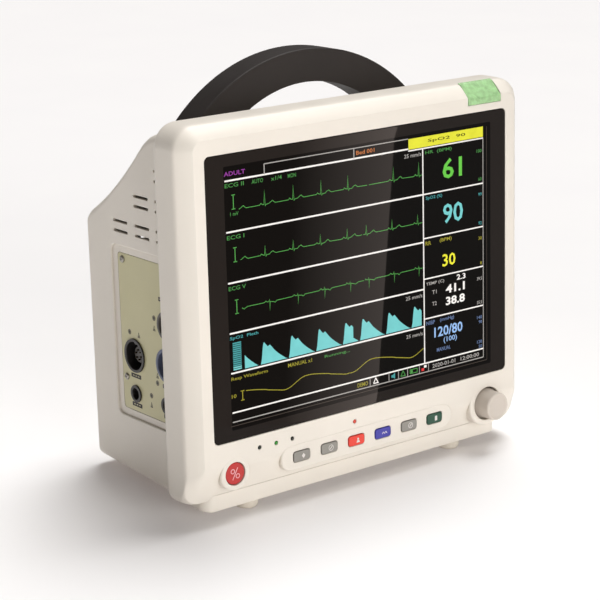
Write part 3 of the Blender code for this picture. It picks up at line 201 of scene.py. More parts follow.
class Nodes:
    """Small helper to wire a node material."""

    def __init__(self, name):
        self.made = bpy.data.materials.new(name)
        self.made.use_nodes = True
        self.tree = self.made.node_tree
        self.shader = self.tree.nodes["Principled BSDF"]

    def add(self, kind, values=None, **props):
        node = self.tree.nodes.new(kind)
        for key, value in props.items():
            setattr(node, key, value)
        for key, value in (values or {}).items():
            node.inputs[key].default_value = value
        return node

    def link(self, source, target):
        self.tree.links.new(source, target)

    def fix(self, values):
        for key, value in values.items():
            self.shader.inputs[key].default_value = value

    def coords(self):
        return self.add("ShaderNodeTexCoord").outputs["Object"]

    def noise(self, where, scale, detail=3.0, stretch=None):
        if stretch:
            turn = self.add("ShaderNodeMapping")
            turn.inputs["Scale"].default_value = stretch
            self.link(where, turn.inputs["Vector"])
            where = turn.outputs["Vector"]
        node = self.add("ShaderNodeTexNoise", {"Scale": scale, "Detail": detail})
        self.link(where, node.inputs["Vector"])
        return node.outputs["Fac"]

    def spread(self, value, low, high, start=0.3, end=0.7):
        ends = {"From Min": start, "From Max": end, "To Min": low, "To Max": high}
        node = self.add("ShaderNodeMapRange", ends)
        self.link(value, node.inputs["Value"])
        return node.outputs["Result"]

    def mix(self, factor, a, b):
        node = self.add("ShaderNodeMix", data_type="RGBA")
        for socket, value in ((node.inputs[0], factor), (node.inputs[6], a), (node.inputs[7], b)):
            if isinstance(value, (tuple, float)):
                socket.default_value = value
            else:
                self.link(value, socket)
        return node.outputs[2]

    def bump(self, height, strength, distance, after=None):
        node = self.add("ShaderNodeBump", {"Strength": strength, "Distance": distance})
        self.link(height, node.inputs["Height"])
        if after:
            self.link(after, node.inputs["Normal"])
        return node.outputs["Normal"]


def moulded(name, colour, blotch=14.0, rough=0.42, grain=1500.0, depth=0.00003, mottle=0.05, dirt_and_shade=0.35,
            wear=0.0, wear_colour=None, specular=0.5, metallic=0.0, stretch=None, wave=0.10):
    """Moulded or sheet surface: fine grain, uneven gloss, faint mottling, dirt and painted shade darkening corners
    and recesses, worn edges.
    """
    n = Nodes(name)
    where = n.coords()
    shader = n.shader
    shade = tuple(c * (1.0 - 2.4 * mottle) for c in colour[:3]) + (1.0,)
    tone = n.mix(n.spread(n.noise(where, blotch, 5.0), 0.0, 1.0), colour, shade)
    # Darkens the colour where ambient occlusion finds corners, recesses and gaps between parts: partly dirt,
    # partly painted shade.
    if dirt_and_shade > 0.0:
        corner = n.add("ShaderNodeAmbientOcclusion", {"Distance": 0.006}, samples=6)
        grime_and_shade = tuple(c * f for c, f in zip(colour[:3], (0.55, 0.50, 0.44))) + (1.0,)
        amount = n.spread(corner.outputs["AO"], dirt_and_shade, 0.0, 0.25, 0.9)
        tone = n.mix(amount, tone, grime_and_shade)
    if wear > 0.0:
        rounding = n.add("ShaderNodeBevel", {"Radius": 0.0006}, samples=4)
        plain = n.add("ShaderNodeNewGeometry")
        bend = n.add("ShaderNodeVectorMath", operation="DOT_PRODUCT")
        n.link(rounding.outputs["Normal"], bend.inputs[0])
        n.link(plain.outputs["Normal"], bend.inputs[1])
        edge = n.spread(bend.outputs["Value"], wear, 0.0, 0.90, 0.995)
        broken = n.add("ShaderNodeMath", operation="MULTIPLY")
        n.link(edge, broken.inputs[0])
        n.link(n.spread(n.noise(where, 160.0, 4.0), 0.2, 1.0, 0.35, 0.6), broken.inputs[1])
        pale = wear_colour or tuple(min(1.0, c * 1.5 + 0.02) for c in colour[:3]) + (1.0,)
        tone = n.mix(broken.outputs["Value"], tone, pale)
    n.link(tone, shader.inputs["Base Color"])
    n.link(n.spread(n.noise(where, 60.0, 6.0), 0.88 * rough, 1.17 * rough), shader.inputs["Roughness"])
    fine = n.bump(n.noise(where, grain, 2.0, stretch=stretch), 0.6, depth)
    n.link(n.bump(n.noise(where, 30.0, 2.0), wave, 0.0004, after=fine), shader.inputs["Normal"])
    n.fix({"Specular IOR Level": specular, "Metallic": metallic})
    return n.made


def lit(name, colour):
    """Lit picture element, a little uneven over the panel."""
    n = Nodes(name)
    where = n.coords()
    dim = tuple(c * 0.84 for c in colour[:3]) + (1.0,)
    uneven = n.spread(n.noise(where, 120.0, 4.0), 0.0, 1.0)
    n.link(n.mix(uneven, dim, colour), n.shader.inputs["Emission Color"])
    n.fix({"Emission Strength": 0.62, "Base Color": tuple(0.5 * c for c in colour[:3]) + (1.0,),
           "Roughness": 0.012, "Specular IOR Level": 0.045})
    return n.made


CASE_TONE = srgb(238, 231, 220)
CASE = moulded("case_plastic", CASE_TONE, rough=0.40, grain=2200.0, depth=0.000022, mottle=0.018, dirt_and_shade=0.45,
               wear=0.22, wear_colour=srgb(246, 242, 234))
HANDLE = moulded("handle_plastic", srgb(47, 42, 40), specular=0.25, rough=0.55, depth=0.00005, mottle=0.06,
                 dirt_and_shade=0.5, wear=0.35, wear_colour=srgb(112, 106, 102))
PRINT = moulded("window_print", srgb(36, 31, 28), rough=0.012, grain=300.0, depth=0.0000002, mottle=0.04,
                dirt_and_shade=0.0, specular=0.07, wave=0.001)
DARK_GLASS = moulded("window_glass", srgb(12, 10, 8), rough=0.012, grain=300.0, depth=0.0000002, mottle=0.05,
                     dirt_and_shade=0.0, specular=0.045, wave=0.002)
PLATE = moulded("plate_paint", srgb(216, 210, 168), rough=0.40, grain=900.0, depth=0.00002, mottle=0.04,
                dirt_and_shade=0.5, wear=0.4, wear_colour=srgb(214, 211, 190))
SOCKET_BLACK = moulded("socket_black", srgb(38, 36, 35), rough=0.34, grain=1200.0, dirt_and_shade=0.4, wear=0.5,
                       wear_colour=srgb(128, 124, 118))
SOCKET_GREY = moulded("socket_grey", srgb(96, 92, 88), rough=0.38, grain=1200.0, dirt_and_shade=0.5, wear=0.4)
SOCKET_BLUE = moulded("socket_blue", srgb(104, 112, 138), rough=0.38, grain=1200.0, dirt_and_shade=0.5, wear=0.4)
STEEL = moulded("steel", srgb(176, 172, 164), rough=0.30, grain=500.0, depth=0.00001, metallic=1.0, dirt_and_shade=0.5,
                stretch=(1.0, 1.0, 12.0))
GOLD = moulded("contact_gold", srgb(74, 66, 50), rough=0.28, grain=900.0, metallic=1.0, dirt_and_shade=0.3)
PANEL = moulded("panel_backing", srgb(150, 150, 152), rough=0.42, metallic=0.7, grain=800.0)
DISPLAY_BLACK = moulded("display_black", srgb(13, 11, 9), rough=0.45, grain=3000.0, depth=0.000004, dirt_and_shade=0.0,
                        specular=0.02)
BOARD = moulded("board_green", srgb(28, 92, 56), rough=0.36, grain=500.0, depth=0.00005, mottle=0.1)
FOAM = moulded("seal_foam", srgb(40, 39, 38), rough=0.9, grain=1800.0, depth=0.0002)
FOOT = moulded("foot_rubber", srgb(226, 218, 204), rough=0.62, grain=1600.0, depth=0.00005, mottle=0.03)
WRAP = moulded("battery_wrap", srgb(50, 58, 78), rough=0.42, grain=300.0, depth=0.00008)
KNOB = moulded("knob_plastic", srgb(212, 202, 191), rough=0.40, grain=2200.0, depth=0.000022, mottle=0.018,
               dirt_and_shade=0.45, wear=0.22, wear_colour=srgb(238, 232, 222))
LAMP = moulded("lamp_green", srgb(174, 220, 158), blotch=260.0, rough=0.26, grain=340.0, depth=0.0002,
               mottle=0.13, dirt_and_shade=0.25, wear=0.5, wear_colour=srgb(190, 226, 174))
RED = moulded("power_red", srgb(198, 46, 44), rough=0.36, grain=1800.0, mottle=0.03, dirt_and_shade=0.35, wear=0.2)
INK = moulded("icon_white", srgb(232, 226, 222), rough=0.5, grain=2500.0, dirt_and_shade=0.0)
INK_DARK = moulded("mark_dark", srgb(52, 47, 42), rough=0.5, grain=2500.0, dirt_and_shade=0.0)
INK_GREY = moulded("mark_grey", srgb(126, 121, 100), rough=0.5, grain=2500.0, dirt_and_shade=0.0)
KEYS = {
    tone: moulded("key_" + tone, colour, rough=rough, depth=0.00004, mottle=0.03, wear=wear)
    for tone, colour, rough, wear in (
        ("grey", srgb(150, 147, 140), 0.50, 0.3), ("red", srgb(238, 66, 50), 0.46, 0.2),
        ("blue", srgb(62, 60, 166), 0.46, 0.2), ("green", srgb(24, 76, 56), 0.46, 0.2))
}
LIGHTS = {
    node: moulded(name, colour, rough=0.25, grain=900.0, dirt_and_shade=0.0)
    for node, name, colour in (
        ("led_mains", "led_off", srgb(40, 46, 38)), ("led_power", "led_green", srgb(52, 150, 46)),
        ("led_battery", "led_dark", srgb(44, 44, 36)), ("led_alarm", "led_red", srgb(240, 92, 74)))
}


# ---------------------------------------------------------------- mesh helpers

def rounded(left, right, low, high, corner, corner_low=None, steps=10):
    """Rectangle with round corners, as (u, v) points."""
    corner_low = corner if corner_low is None else corner_low
    centres = (
        (right - corner, high - corner, corner, 0.0),
        (left + corner, high - corner, corner, 0.5 * math.pi),
        (left + corner_low, low + corner_low, corner_low, math.pi),
        (right - corner_low, low + corner_low, corner_low, 1.5 * math.pi),
    )
    outline = []
    for u, v, radius, start in centres:
        for i in range(steps + 1):
            angle = start + 0.5 * math.pi * i / steps
            outline.append((u + radius * math.cos(angle), v + radius * math.sin(angle)))
    return outline


def circle(u, v, radius, steps=48):
    turn = 2.0 * math.pi / steps
    return [(u + radius * math.cos(turn * i), v + radius * math.sin(turn * i)) for i in range(steps)]


def framed(left, right, low, high, corner, steps=10):
    """Rounded rectangle as an outline by inset."""
    return lambda inset: rounded(left + inset, right - inset, low + inset, high - inset, corner - inset,
                                 steps=steps)


def disc(u, v, radius, steps=48):
    """Circle as an outline by inset."""
    return lambda inset: circle(u, v, radius - inset, steps)


def along_y(outline, depth):
    return [(u, depth, v) for u, v in outline]


def along_x(outline, across):
    return [(across, u, v) for u, v in outline]


def along_z(outline, height):
    return [(u, v, height) for u, v in outline]


def loft(bm, loops, caps=(True, True), material=0, closed=False):
    """Skin over loops of equally many points. closed joins the last loop to the first."""
    rings = []
    for points in loops:
        rings.append([bm.verts.new(p) for p in points])
    made = []
    if closed:
        caps = (False, False)
        rings.append(rings[0])
    for near, far in zip(rings, rings[1:]):
        for i in range(len(near)):
            j = (i + 1) % len(near)
            made.append(bm.faces.new((near[i], near[j], far[j], far[i])))
    if caps[0]:
        made.append(bm.faces.new(rings[0]))
    if caps[1]:
        made.append(bm.faces.new(rings[-1]))
    for face in made:
        face.material_index = material


def prism(bm, outline, place, start, end, material=0):
    loft(bm, [place(outline, start), place(outline, end)], material=material)


def quarter(radius, steps=4):
    """(inset, drop) along a rounded edge, from the face to the side."""
    angles = [0.5 * math.pi * i / steps for i in range(steps + 1)]
    return [(radius * (1.0 - math.sin(angle)), radius * (1.0 - math.cos(angle))) for angle in angles]


def cushion(bm, outline_at, place, face, back, edge, steps):
    """Prism whose face end has a rounded edge. outline_at(inset) gives the outline."""
    way = math.copysign(1.0, back - face)
    loops = [place(outline_at(inset), face + way * drop) for inset, drop in quarter(edge, steps)]
    loops.append(place(outline_at(0.0), back))
    loft(bm, loops)


def mouth(bm, outline_at, place, face, back, edge, steps=3):
    """Cutter for a hole whose rim is rounded. outline_at(inset) takes a negative inset to grow."""
    way = math.copysign(1.0, back - face)
    curve = quarter(edge, steps)
    loops = [place(outline_at(-edge), face - way * 0.003)]
    loops += [place(outline_at(-inset), face + way * drop) for inset, drop in curve]
    loops.append(place(outline_at(0.0), back))
    loft(bm, loops)


def turned(bm, centre, place, profile, steps=48, material=0):
    """Turned solid from a profile of (radius, place along the axis)."""
    loft(bm, [place(circle(*centre, radius, steps), at) for radius, at in profile], material=material)


def block(bm, x, y, z):
    prism(bm, [(x[0], z[0]), (x[1], z[0]), (x[1], z[1]), (x[0], z[1])], along_y, *y)


def placed(name, data):
    """A new object in the scene."""
    obj = bpy.data.objects.new(name, data)
    bpy.context.scene.collection.objects.link(obj)
    return obj


def meshed(bm, name, tones):
    """An object from the mesh, with its materials in the order of their indices."""
    mesh = bpy.data.meshes.new(name)
    bm.to_mesh(mesh)
    bm.free()
    for tone in tones:
        mesh.materials.append(tone)
    return placed(name, mesh)


def solid(bm, *tones):
    bmesh.ops.recalc_face_normals(bm, faces=bm.faces)
    return meshed(bm, "work", tones)


def settled(obj):
    """Applies the object's modifiers."""
    bpy.context.view_layer.update()
    graph = bpy.context.evaluated_depsgraph_get()
    mesh = bpy.data.meshes.new_from_object(obj.evaluated_get(graph), depsgraph=graph)
    obj.modifiers.clear()
    old = obj.data
    obj.data = mesh
    bpy.data.meshes.remove(old)


def carve(target, bm, operation="DIFFERENCE"):
    """Cuts the shape from the target, or joins it on by UNION."""
    tool = solid(bm)
    for tone in target.data.materials:
        tool.data.materials.append(tone)
    step = target.modifiers.new("carve", "BOOLEAN")
    step.operation = operation
    step.solver = "EXACT"
    step.object = tool
    settled(target)
    bpy.data.objects.remove(tool, do_unlink=True)


def finish(obj, name, body="monitor", slot=None, stands_for=(), sharp=32.0, bevel=0.0, place=STANCE,
           weigh=True):
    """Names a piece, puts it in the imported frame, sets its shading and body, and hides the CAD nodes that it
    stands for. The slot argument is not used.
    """
    if bevel > 0.0:
        step = obj.modifiers.new("edges", "BEVEL")
        step.width = bevel
        step.segments = 3
        step.limit_method = "ANGLE"
        step.angle_limit = math.radians(30.0)
        settled(obj)
    mesh = obj.data
    mesh.transform(place)
    mesh.name = name
    obj.name = name
    mesh.shade_smooth()
    mesh.set_sharp_from_angle(angle=math.radians(sharp))
    if weigh:
        step = obj.modifiers.new("shading", "WEIGHTED_NORMAL")
        step.keep_sharp = True
        step.weight = 80
        settled(obj)
        obj.data.name = name
    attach(obj, body)
    if stands_for:
        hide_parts(*stands_for)


# ---------------------------------------------------------------- front bezel

def section(depth, half_width, top, bottom, corner_top, corner_low):
    return along_y(rounded(-half_width, half_width, bottom, top, corner_top, corner_low, steps=14), depth)


def lower_height(depth):
    """Height where the lower front, which turns back below the window, has reached this depth."""
    if depth <= BEND_DEPTH:
        return BEND_START + (BEND_END - BEND_START) * math.sqrt(max(depth, 0.0) / BEND_DEPTH)
    return max(BEND_END - (depth - BEND_DEPTH) / LOWER_SLOPE, BEZEL_BOTTOM + 0.0005)


def bezel_loops():
    loops = []
    start = 0.0101
    for inset, depth, corner, low in (
            (start + 0.0007, 0.0, 0.0074, 0.002), (start + 0.0003, 0.00006, 0.0078, 0.002),
            (start - 0.0002, 0.0003, 0.0082, 0.0025), (start - 0.0010, 0.0011, 0.0088, 0.003),
            (0.0076, 0.0022, 0.010, 0.004), (0.0059, 0.0038, 0.012, 0.0065), (0.0042, 0.0055, 0.014, 0.009),
            (0.0026, 0.0072, 0.0155, 0.0125), (0.0012, 0.0088, 0.0168, 0.0158),
            (0.0006, 0.0099, 0.0174, 0.0160), (0.00025, 0.0110, 0.0178, 0.0160),
            (0.0001, 0.0122, 0.0180, 0.0148)):
        top = BEZEL_TOP - 0.0009 * min(depth / 0.012, 1.0) - 1.02 * inset + 0.0002
        if depth >= 0.0099:
            top = 0.1260 + 0.0006 * (depth - 0.0099) / 0.0023
        loops.append(section(depth, HALF_W - inset, top, lower_height(depth), corner, low))
    loops.append(section(0.0132, HALF_W, 0.1267, lower_height(0.0132), 0.018, 0.013))
    loops.append(section(0.0160, HALF_W, 0.1269, BEZEL_BOTTOM, 0.018, 0.010))
    loops.append(section(0.0200, HALF_W, BEZEL_TOP, BEZEL_BOTTOM, 0.018, 0.008))
    steps = 9
    for step in range(steps):
        angle = 0.5 * math.pi * step / (steps - 1)
        drop = BACK_ROUND * (1.0 - math.cos(angle))
        depth = BEZEL_BACK - BACK_ROUND * (1.0 - math.sin(angle))
        loops.append(section(depth, HALF_W - drop, BEZEL_TOP - drop, BEZEL_BOTTOM + 0.35 * drop,
                             0.018 - 0.5 * drop, 0.008 - 0.3 * drop))
    return loops


def bezel_cavity():
    """Room behind the front, as sections from the back to the window."""
    half = HOUSE_HALF_W - 0.002
    low = CHIN_TOP + WALL + GAP
    flange = BEZEL_BACK - WALL
    return [
        section(BEZEL_BACK + 0.002, half, 0.1142, low + 0.001, 0.008, 0.004),
        section(flange, half, 0.1142, low + 0.001, 0.008, 0.004),
        section(flange, HALF_W - 0.0065, 0.1205, low, 0.012, 0.005),
        section(0.0300, HALF_W - 0.0035, 0.1235, low, 0.015, 0.005),
        section(0.0170, HALF_W - 0.0035, 0.1225, -0.1435, 0.015, 0.006),
        section(0.0120, HALF_W - 0.0050, 0.1140, -0.1375, 0.012, 0.012),
        section(0.0062, HALF_W - 0.0135, 0.1088, -0.1262, 0.005, 0.005),
    ]


def key_strip(inset):
    half = 0.0102 - inset
    return rounded(-0.083 + inset, 0.0845 - inset, ROW_Z - half, ROW_Z + half, half - 0.00005, steps=12)


def key_xs():
    return [KEY_X + KEY_PITCH * i for i in range(6)]


def key_outline(x, inset, fit=0.0):
    half_w = 0.5 * KEY_W + fit - inset
    half_h = 0.5 * KEY_H + fit - inset
    corner = max(0.0020 + fit - inset, 0.0006)
    return rounded(x - half_w, x + half_w, ROW_Z - half_h, ROW_Z + half_h, corner, steps=6)


def lamp_pocket():
    """Seat of the lamp in the top edge, as (depth, height)."""
    back = 0.0120 + GAP
    return [(-0.004, 0.1110 - GAP), (-0.004, 0.133), (back, 0.133), (back, 0.1225 - GAP),
            (0.0050 + GAP, 0.1155 - GAP), (0.0050 + GAP, 0.1110 - GAP)]


def chin_loops(half_width, front, top, grow, back):
    """Part of the housing under the bezel, with a round front edge and a sloping underside."""
    radius, steps = 0.010, 10
    plan = []
    for sign, start in ((-1.0, math.pi), (1.0, -0.5 * math.pi)):
        for i in range(steps + 1):
            angle = start + 0.5 * math.pi * i / steps
            plan.append((sign * (half_width - radius) + radius * math.cos(angle),
                         front + radius + radius * math.sin(angle)))
    plan += [(half_width, back), (-half_width, back)]

    def low(y):
        end = underside(CHIN_BACK) + 0.0006
        return CHIN_LOW - grow + (y - front) * (end - CHIN_LOW) / (CHIN_BACK - front)

    loops = [[(x, y, top) for x, y in plan]]
    for inset, drop in reversed(quarter(0.0014)):
        squeeze = 1.0 - inset / half_width
        loops.append([(x * squeeze, max(y, front + inset), low(max(y, front + inset)) + drop)
                      for x, y in plan])
    return loops


def make_bezel():
    bm = bmesh.new()
    loft(bm, bezel_loops())
    bezel = solid(bm, CASE)
    bm = bmesh.new()
    cushion(bm, disc(POWER_X, ROW_Z, POWER_RING), along_y, RING_FACE, RING_BACK, 0.0014, 5)
    cushion(bm, key_strip, along_y, RING_FACE, RING_BACK, 0.0014, 5)
    cushion(bm, disc(KNOB_X, ROW_Z, KNOB_RING, 64), along_y, RING_FACE, RING_BACK + 0.0010, 0.0018, 5)
    carve(bezel, bm, "UNION")
    bm = bmesh.new()
    loft(bm, bezel_cavity())
    carve(bezel, bm)

    bm = bmesh.new()
    half_w = WINDOW_HALF_W + GAP
    half_h = WINDOW_HALF_H + GAP
    mouth(bm, framed(-half_w, half_w, -half_h, half_h, WINDOW_CORNER), along_y, 0.0, 0.0039, 0.0004)
    carve(bezel, bm)
    bm = bmesh.new()
    half_w -= WINDOW_LEDGE
    half_h -= WINDOW_LEDGE
    prism(bm, rounded(-half_w, half_w, -half_h, half_h, WINDOW_CORNER), along_y, 0.001, 0.010)
    carve(bezel, bm)

    bm = bmesh.new()
    for x in key_xs():
        mouth(bm, lambda inset, x=x: key_outline(x, inset, 0.0005), along_y, RING_FACE, 0.020, 0.0003)
    for x in LED_XS.values():
        mouth(bm, disc(x, LED_Z, LED_HOLE, 24), along_y, 0.0, 0.010, 0.0002)
    mouth(bm, disc(POWER_X, ROW_Z, POWER_R + 0.0004), along_y, RING_FACE, 0.020, 0.0005)
    prism(bm, circle(KNOB_X, ROW_Z, SHAFT_HOLE, 32), along_y, 0.003, 0.020)
    carve(bezel, bm)
    bm = bmesh.new()
    mouth(bm, disc(KNOB_X, ROW_Z, KNOB_WELL, 64), along_y, RING_FACE, 0.0062, 0.0007)
    carve(bezel, bm)
    bm = bmesh.new()
    prism(bm, lamp_pocket(), along_x, LAMP_X[0] - GAP, LAMP_X[1] + GAP)
    carve(bezel, bm)
    bm = bmesh.new()
    loft(bm, chin_loops(CHIN_HALF_W + GAP, CHIN_FRONT - GAP, CHIN_TOP + GAP, GAP, 0.045))
    carve(bezel, bm)
    finish(bezel, "bezel_shell", slot="case_plastic", stands_for=["front_bezel"])


# ---------------------------------------------------------------- window and picture

def make_window():
    """Glass panel with a printed border round the dark display area that is bonded behind it."""
    bm = bmesh.new()
    pane = framed(-WINDOW_HALF_W, WINDOW_HALF_W, -WINDOW_HALF_H, WINDOW_HALF_H, WINDOW_CORNER)
    view = rounded(-CLEAR_HALF_W, CLEAR_HALF_W, CLEAR_LOW, CLEAR_HIGH, 0.0012)
    loops = [along_y(view, 0.0)]
    loops += [along_y(pane(inset), drop) for inset, drop in quarter(0.0004, 3)]
    loops += [along_y(pane(0.0), WINDOW_THICK)]
    loft(bm, loops, caps=(False, True))
    bm.verts.ensure_lookup_table()
    bm.faces.new(bm.verts[:len(view)]).material_index = 1
    finish(solid(bm, PRINT, DARK_GLASS), "window_pane", slot="window_glass", stands_for=["display_glass"],
           sharp=25.0)


PICTURE = {
    "green": srgb(84, 160, 78), "dim_green": srgb(74, 142, 72), "big_green": srgb(106, 200, 76),
    "cyan": srgb(118, 202, 202), "dim_cyan": srgb(74, 156, 158), "yellow": srgb(238, 232, 60),
    "olive": srgb(158, 150, 52), "white": srgb(244, 240, 236), "grey": srgb(172, 168, 164),
    "blue": srgb(150, 186, 232), "dim_blue": srgb(104, 124, 164), "purple": srgb(150, 66, 158),
    "orange": srgb(196, 116, 62), "banner": srgb(226, 224, 62), "ink": srgb(60, 58, 20),
    # The frame tone is a painted highlight: glowing lines along the right and bottom of the panel, standing for
    # its lit far rim.
    "frame": srgb(66, 58, 53), "red": srgb(226, 60, 60),
}
PICTURE_INDEX = {name: i for i, name in enumerate(PICTURE)}
ROWS = (48.0, 11.0, -26.0, -55.6)
RIGHT_ROWS = (48.0, 13.7, -18.2, -49.8)
DIVIDER = 60.8
TRACE_START, TRACE_END = -111.0, DIVIDER - 0.9
LEFT_END, RIGHT_END = -122.6, 122.2
HEADER, FOOTER, LOWEST = 84.9, -85.2, -92.3
PULSE_WIDE, PULSE_HIGH = 24.6, 16.2
OVER, OVER_THAT = 0.02, 0.03


class Picture:
    """The lit marks of the display, as thin flat shapes in millimetres across and up the window.

    raise_by lifts a shape over those that it lies on.
    """

    def __init__(self):
        self.bm = bmesh.new()

    def place(self, x, z, raise_by=0.0):
        across, up = x * PICTURE_SCALE + PICTURE_SHIFT[0], z * PICTURE_SCALE + PICTURE_SHIFT[1]
        return self.bm.verts.new((across * MM, -(PICTURE_RISE + raise_by) * MM, up * MM))

    def shape(self, points, colour, raise_by=0.0):
        face = self.bm.faces.new([self.place(x, z, raise_by) for x, z in points])
        face.material_index = PICTURE_INDEX[colour]

    def bar(self, x0, z0, x1, z1, colour, raise_by=0.0):
        self.shape([(x0, z0), (x1, z0), (x1, z1), (x0, z1)], colour, raise_by)

    def across(self, x0, x1, z, width, colour):
        self.bar(x0, z - 0.5 * width, x1, z + 0.5 * width, colour)

    def up(self, x, z0, z1, width, colour):
        self.bar(x - 0.5 * width, z0, x + 0.5 * width, z1, colour)

    def stroke(self, points, width, colour, raise_by=0.0):
        """A ribbon along the points with mitred joints."""
        sides = []
        for i, (x, z) in enumerate(points):
            before = points[max(i - 1, 0)]
            after = points[min(i + 1, len(points) - 1)]
            a = Vector((x - before[0], z - before[1]))
            b = Vector((after[0] - x, after[1] - z))
            a = a.normalized() if a.length > 1e-6 else b.normalized()
            b = b.normalized() if b.length > 1e-6 else a
            along = (a + b)
            along = along.normalized() if along.length > 1e-3 else a
            off = Vector((-along.y, along.x))
            reach = 0.5 * width / max(abs(off.dot(Vector((-a.y, a.x)))), 0.45)
            sides.append((self.place(x + off.x * reach, z + off.y * reach, raise_by),
                          self.place(x - off.x * reach, z - off.y * reach, raise_by)))
        for (a, b), (c, d) in zip(sides, sides[1:]):
            face = self.bm.faces.new((a, b, d, c))
            face.material_index = PICTURE_INDEX[colour]

    def words(self, text, x0, z0, x1, z1, colour, bold=0.0, raise_by=0.0):
        """Letters stretched to fill the box from (x0, z0) to (x1, z1)."""
        curve = bpy.data.curves.new("words", "FONT")
        curve.body = text
        curve.resolution_u = 2
        curve.offset = bold
        obj = placed("words", curve)
        bpy.context.view_layer.update()
        graph = bpy.context.evaluated_depsgraph_get()
        mesh = bpy.data.meshes.new_from_object(obj.evaluated_get(graph), depsgraph=graph)
        xs = [v.co.x for v in mesh.vertices]
        zs = [v.co.y for v in mesh.vertices]
        wide = (x1 - x0) / (max(xs) - min(xs))
        tall = (z1 - z0) / (max(zs) - min(zs))
        verts = [self.place(x0 + (v.co.x - min(xs)) * wide, z0 + (v.co.y - min(zs)) * tall, raise_by)
                 for v in mesh.vertices]
        for polygon in mesh.polygons:
            face = self.bm.faces.new([verts[i] for i in polygon.vertices])
            face.material_index = PICTURE_INDEX[colour]
        bpy.data.objects.remove(obj, do_unlink=True)
        bpy.data.curves.remove(curve)
        bpy.data.meshes.remove(mesh)


def beat(x, base, height, invert=False):
    """One heart beat: small wave, spike, shallow dip and a low broad wave, as (x, z) points."""
    shape = [(-6.0, 0.0), (-4.6, 0.1), (-3.4, 1.1), (-2.2, 0.1), (-0.7, 0.0)]
    if invert:
        shape += [(-0.2, 1.6), (0.1, -height), (0.5, 0.2), (1.4, -0.2), (3.4, -0.5), (5.0, -1.3), (6.4, -0.3),
                  (8.0, 0.0)]
    else:
        shape += [(-0.1, height), (0.5, -1.2), (1.2, -0.2), (3.6, 0.0), (5.4, 1.2), (7.0, 1.9), (8.4, 0.5),
                  (9.6, 0.1)]
    return [(x + u, base + v) for u, v in shape]


def trace(picture, beats, base, height, gap, invert=False):
    """A trace across the screen with a sweep gap, and a beat at each of the places given."""
    for left, right in ((TRACE_START, gap[0]), (gap[1], TRACE_END)):
        points = [(left, base)]
        for x in beats:
            for px, pz in beat(x, base, height, invert):
                if left < px < right and px > points[-1][0]:
                    points.append((px, pz + 0.12 * math.sin(1.7 * px)))
        points.append((right, base))
        picture.stroke(points, 0.48, "green", OVER)


def pulse(x, base, cut=1.0):
    """Filled pulse from its foot at x, as (x, z) points; cut stops it part of the way along."""
    shape = ((0.0, 0.0), (0.04, 0.25), (0.085, 0.80), (0.11, 0.97), (0.14, 1.0), (0.20, 0.88), (0.27, 0.77),
             (0.31, 0.81), (0.35, 0.83), (0.41, 0.72), (0.52, 0.52), (0.66, 0.33), (0.80, 0.17), (0.92, 0.04),
             (1.0, 0.0))
    points = []
    for u, v in shape:
        if u <= cut:
            points.append((x + u * PULSE_WIDE, base + v * PULSE_HIGH))
    if cut < 1.0:
        points.append((x + cut * PULSE_WIDE, base))
    return points


def breath(t):
    """Breathing curve over one cycle, from 0 to 1: held, falling slowly, then rising in an S."""
    if t < 0.60:
        return 1.0 - 0.55 * (t / 0.60) ** 1.3 * 1.9 if t < 0.32 else max(0.0, 0.50 - 1.9 * (t - 0.32))
    s = (t - 0.60) / 0.40
    return 0.5 - 0.5 * math.cos(math.pi * min(s * 1.15, 1.0))


# Labels are (text, left, low, right, high, colour, boldness), in millimetres as everything in the picture
WAVE_LABELS = (
    ("ADULT", -123.0, 88.2, -104.5, 91.4, "purple", 0.012),
    ("Bed 001", -3.6, 87.3, 13.8, 90.4, "orange", 0.012),
    ("ECG II", -122.6, 79.9, -106.0, 82.9, "dim_green", 0.01),
    ("AUTO", -99.2, 79.7, -89.0, 82.7, "dim_green", 0.01),
    ("x1/4", -82.0, 79.5, -72.4, 82.5, "dim_green", 0.01),
    ("MON", -67.0, 79.3, -59.6, 82.3, "dim_green", 0.01),
    ("1 mV", -118.6, 59.4, -111.4, 62.0, "dim_green", 0.01),
    ("25 mm/s", 42.4, 78.2, 59.2, 81.2, "grey", 0.01),
    ("ECG I", -122.2, 42.4, -107.0, 45.4, "dim_green", 0.01),
    ("ECG V", -122.2, 5.4, -107.0, 8.4, "dim_green", 0.01),
    ("SpO2  Pleth", -122.6, -31.4, -97.4, -28.4, "dim_cyan", 0.01),
    ("25 mm/s", 42.4, -31.8, 59.0, -28.9, "grey", 0.01),
    ("25 mm/s", 42.4, -62.0, 59.0, -59.1, "grey", 0.01),
    ("Resp Waveform", -122.6, -61.8, -90.0, -58.6, "olive", 0.01),
    ("MANUAL x1", -71.4, -61.4, -49.2, -58.5, "olive", 0.01),
    ("Running...", -37.2, -61.6, -13.0, -58.8, "dim_green", 0.01),
    ("10", -122.8, -74.3, -118.6, -71.5, "olive", 0.01),
    ("DEMO", -6.4, -90.6, 3.8, -87.4, "olive", 0.01),
)
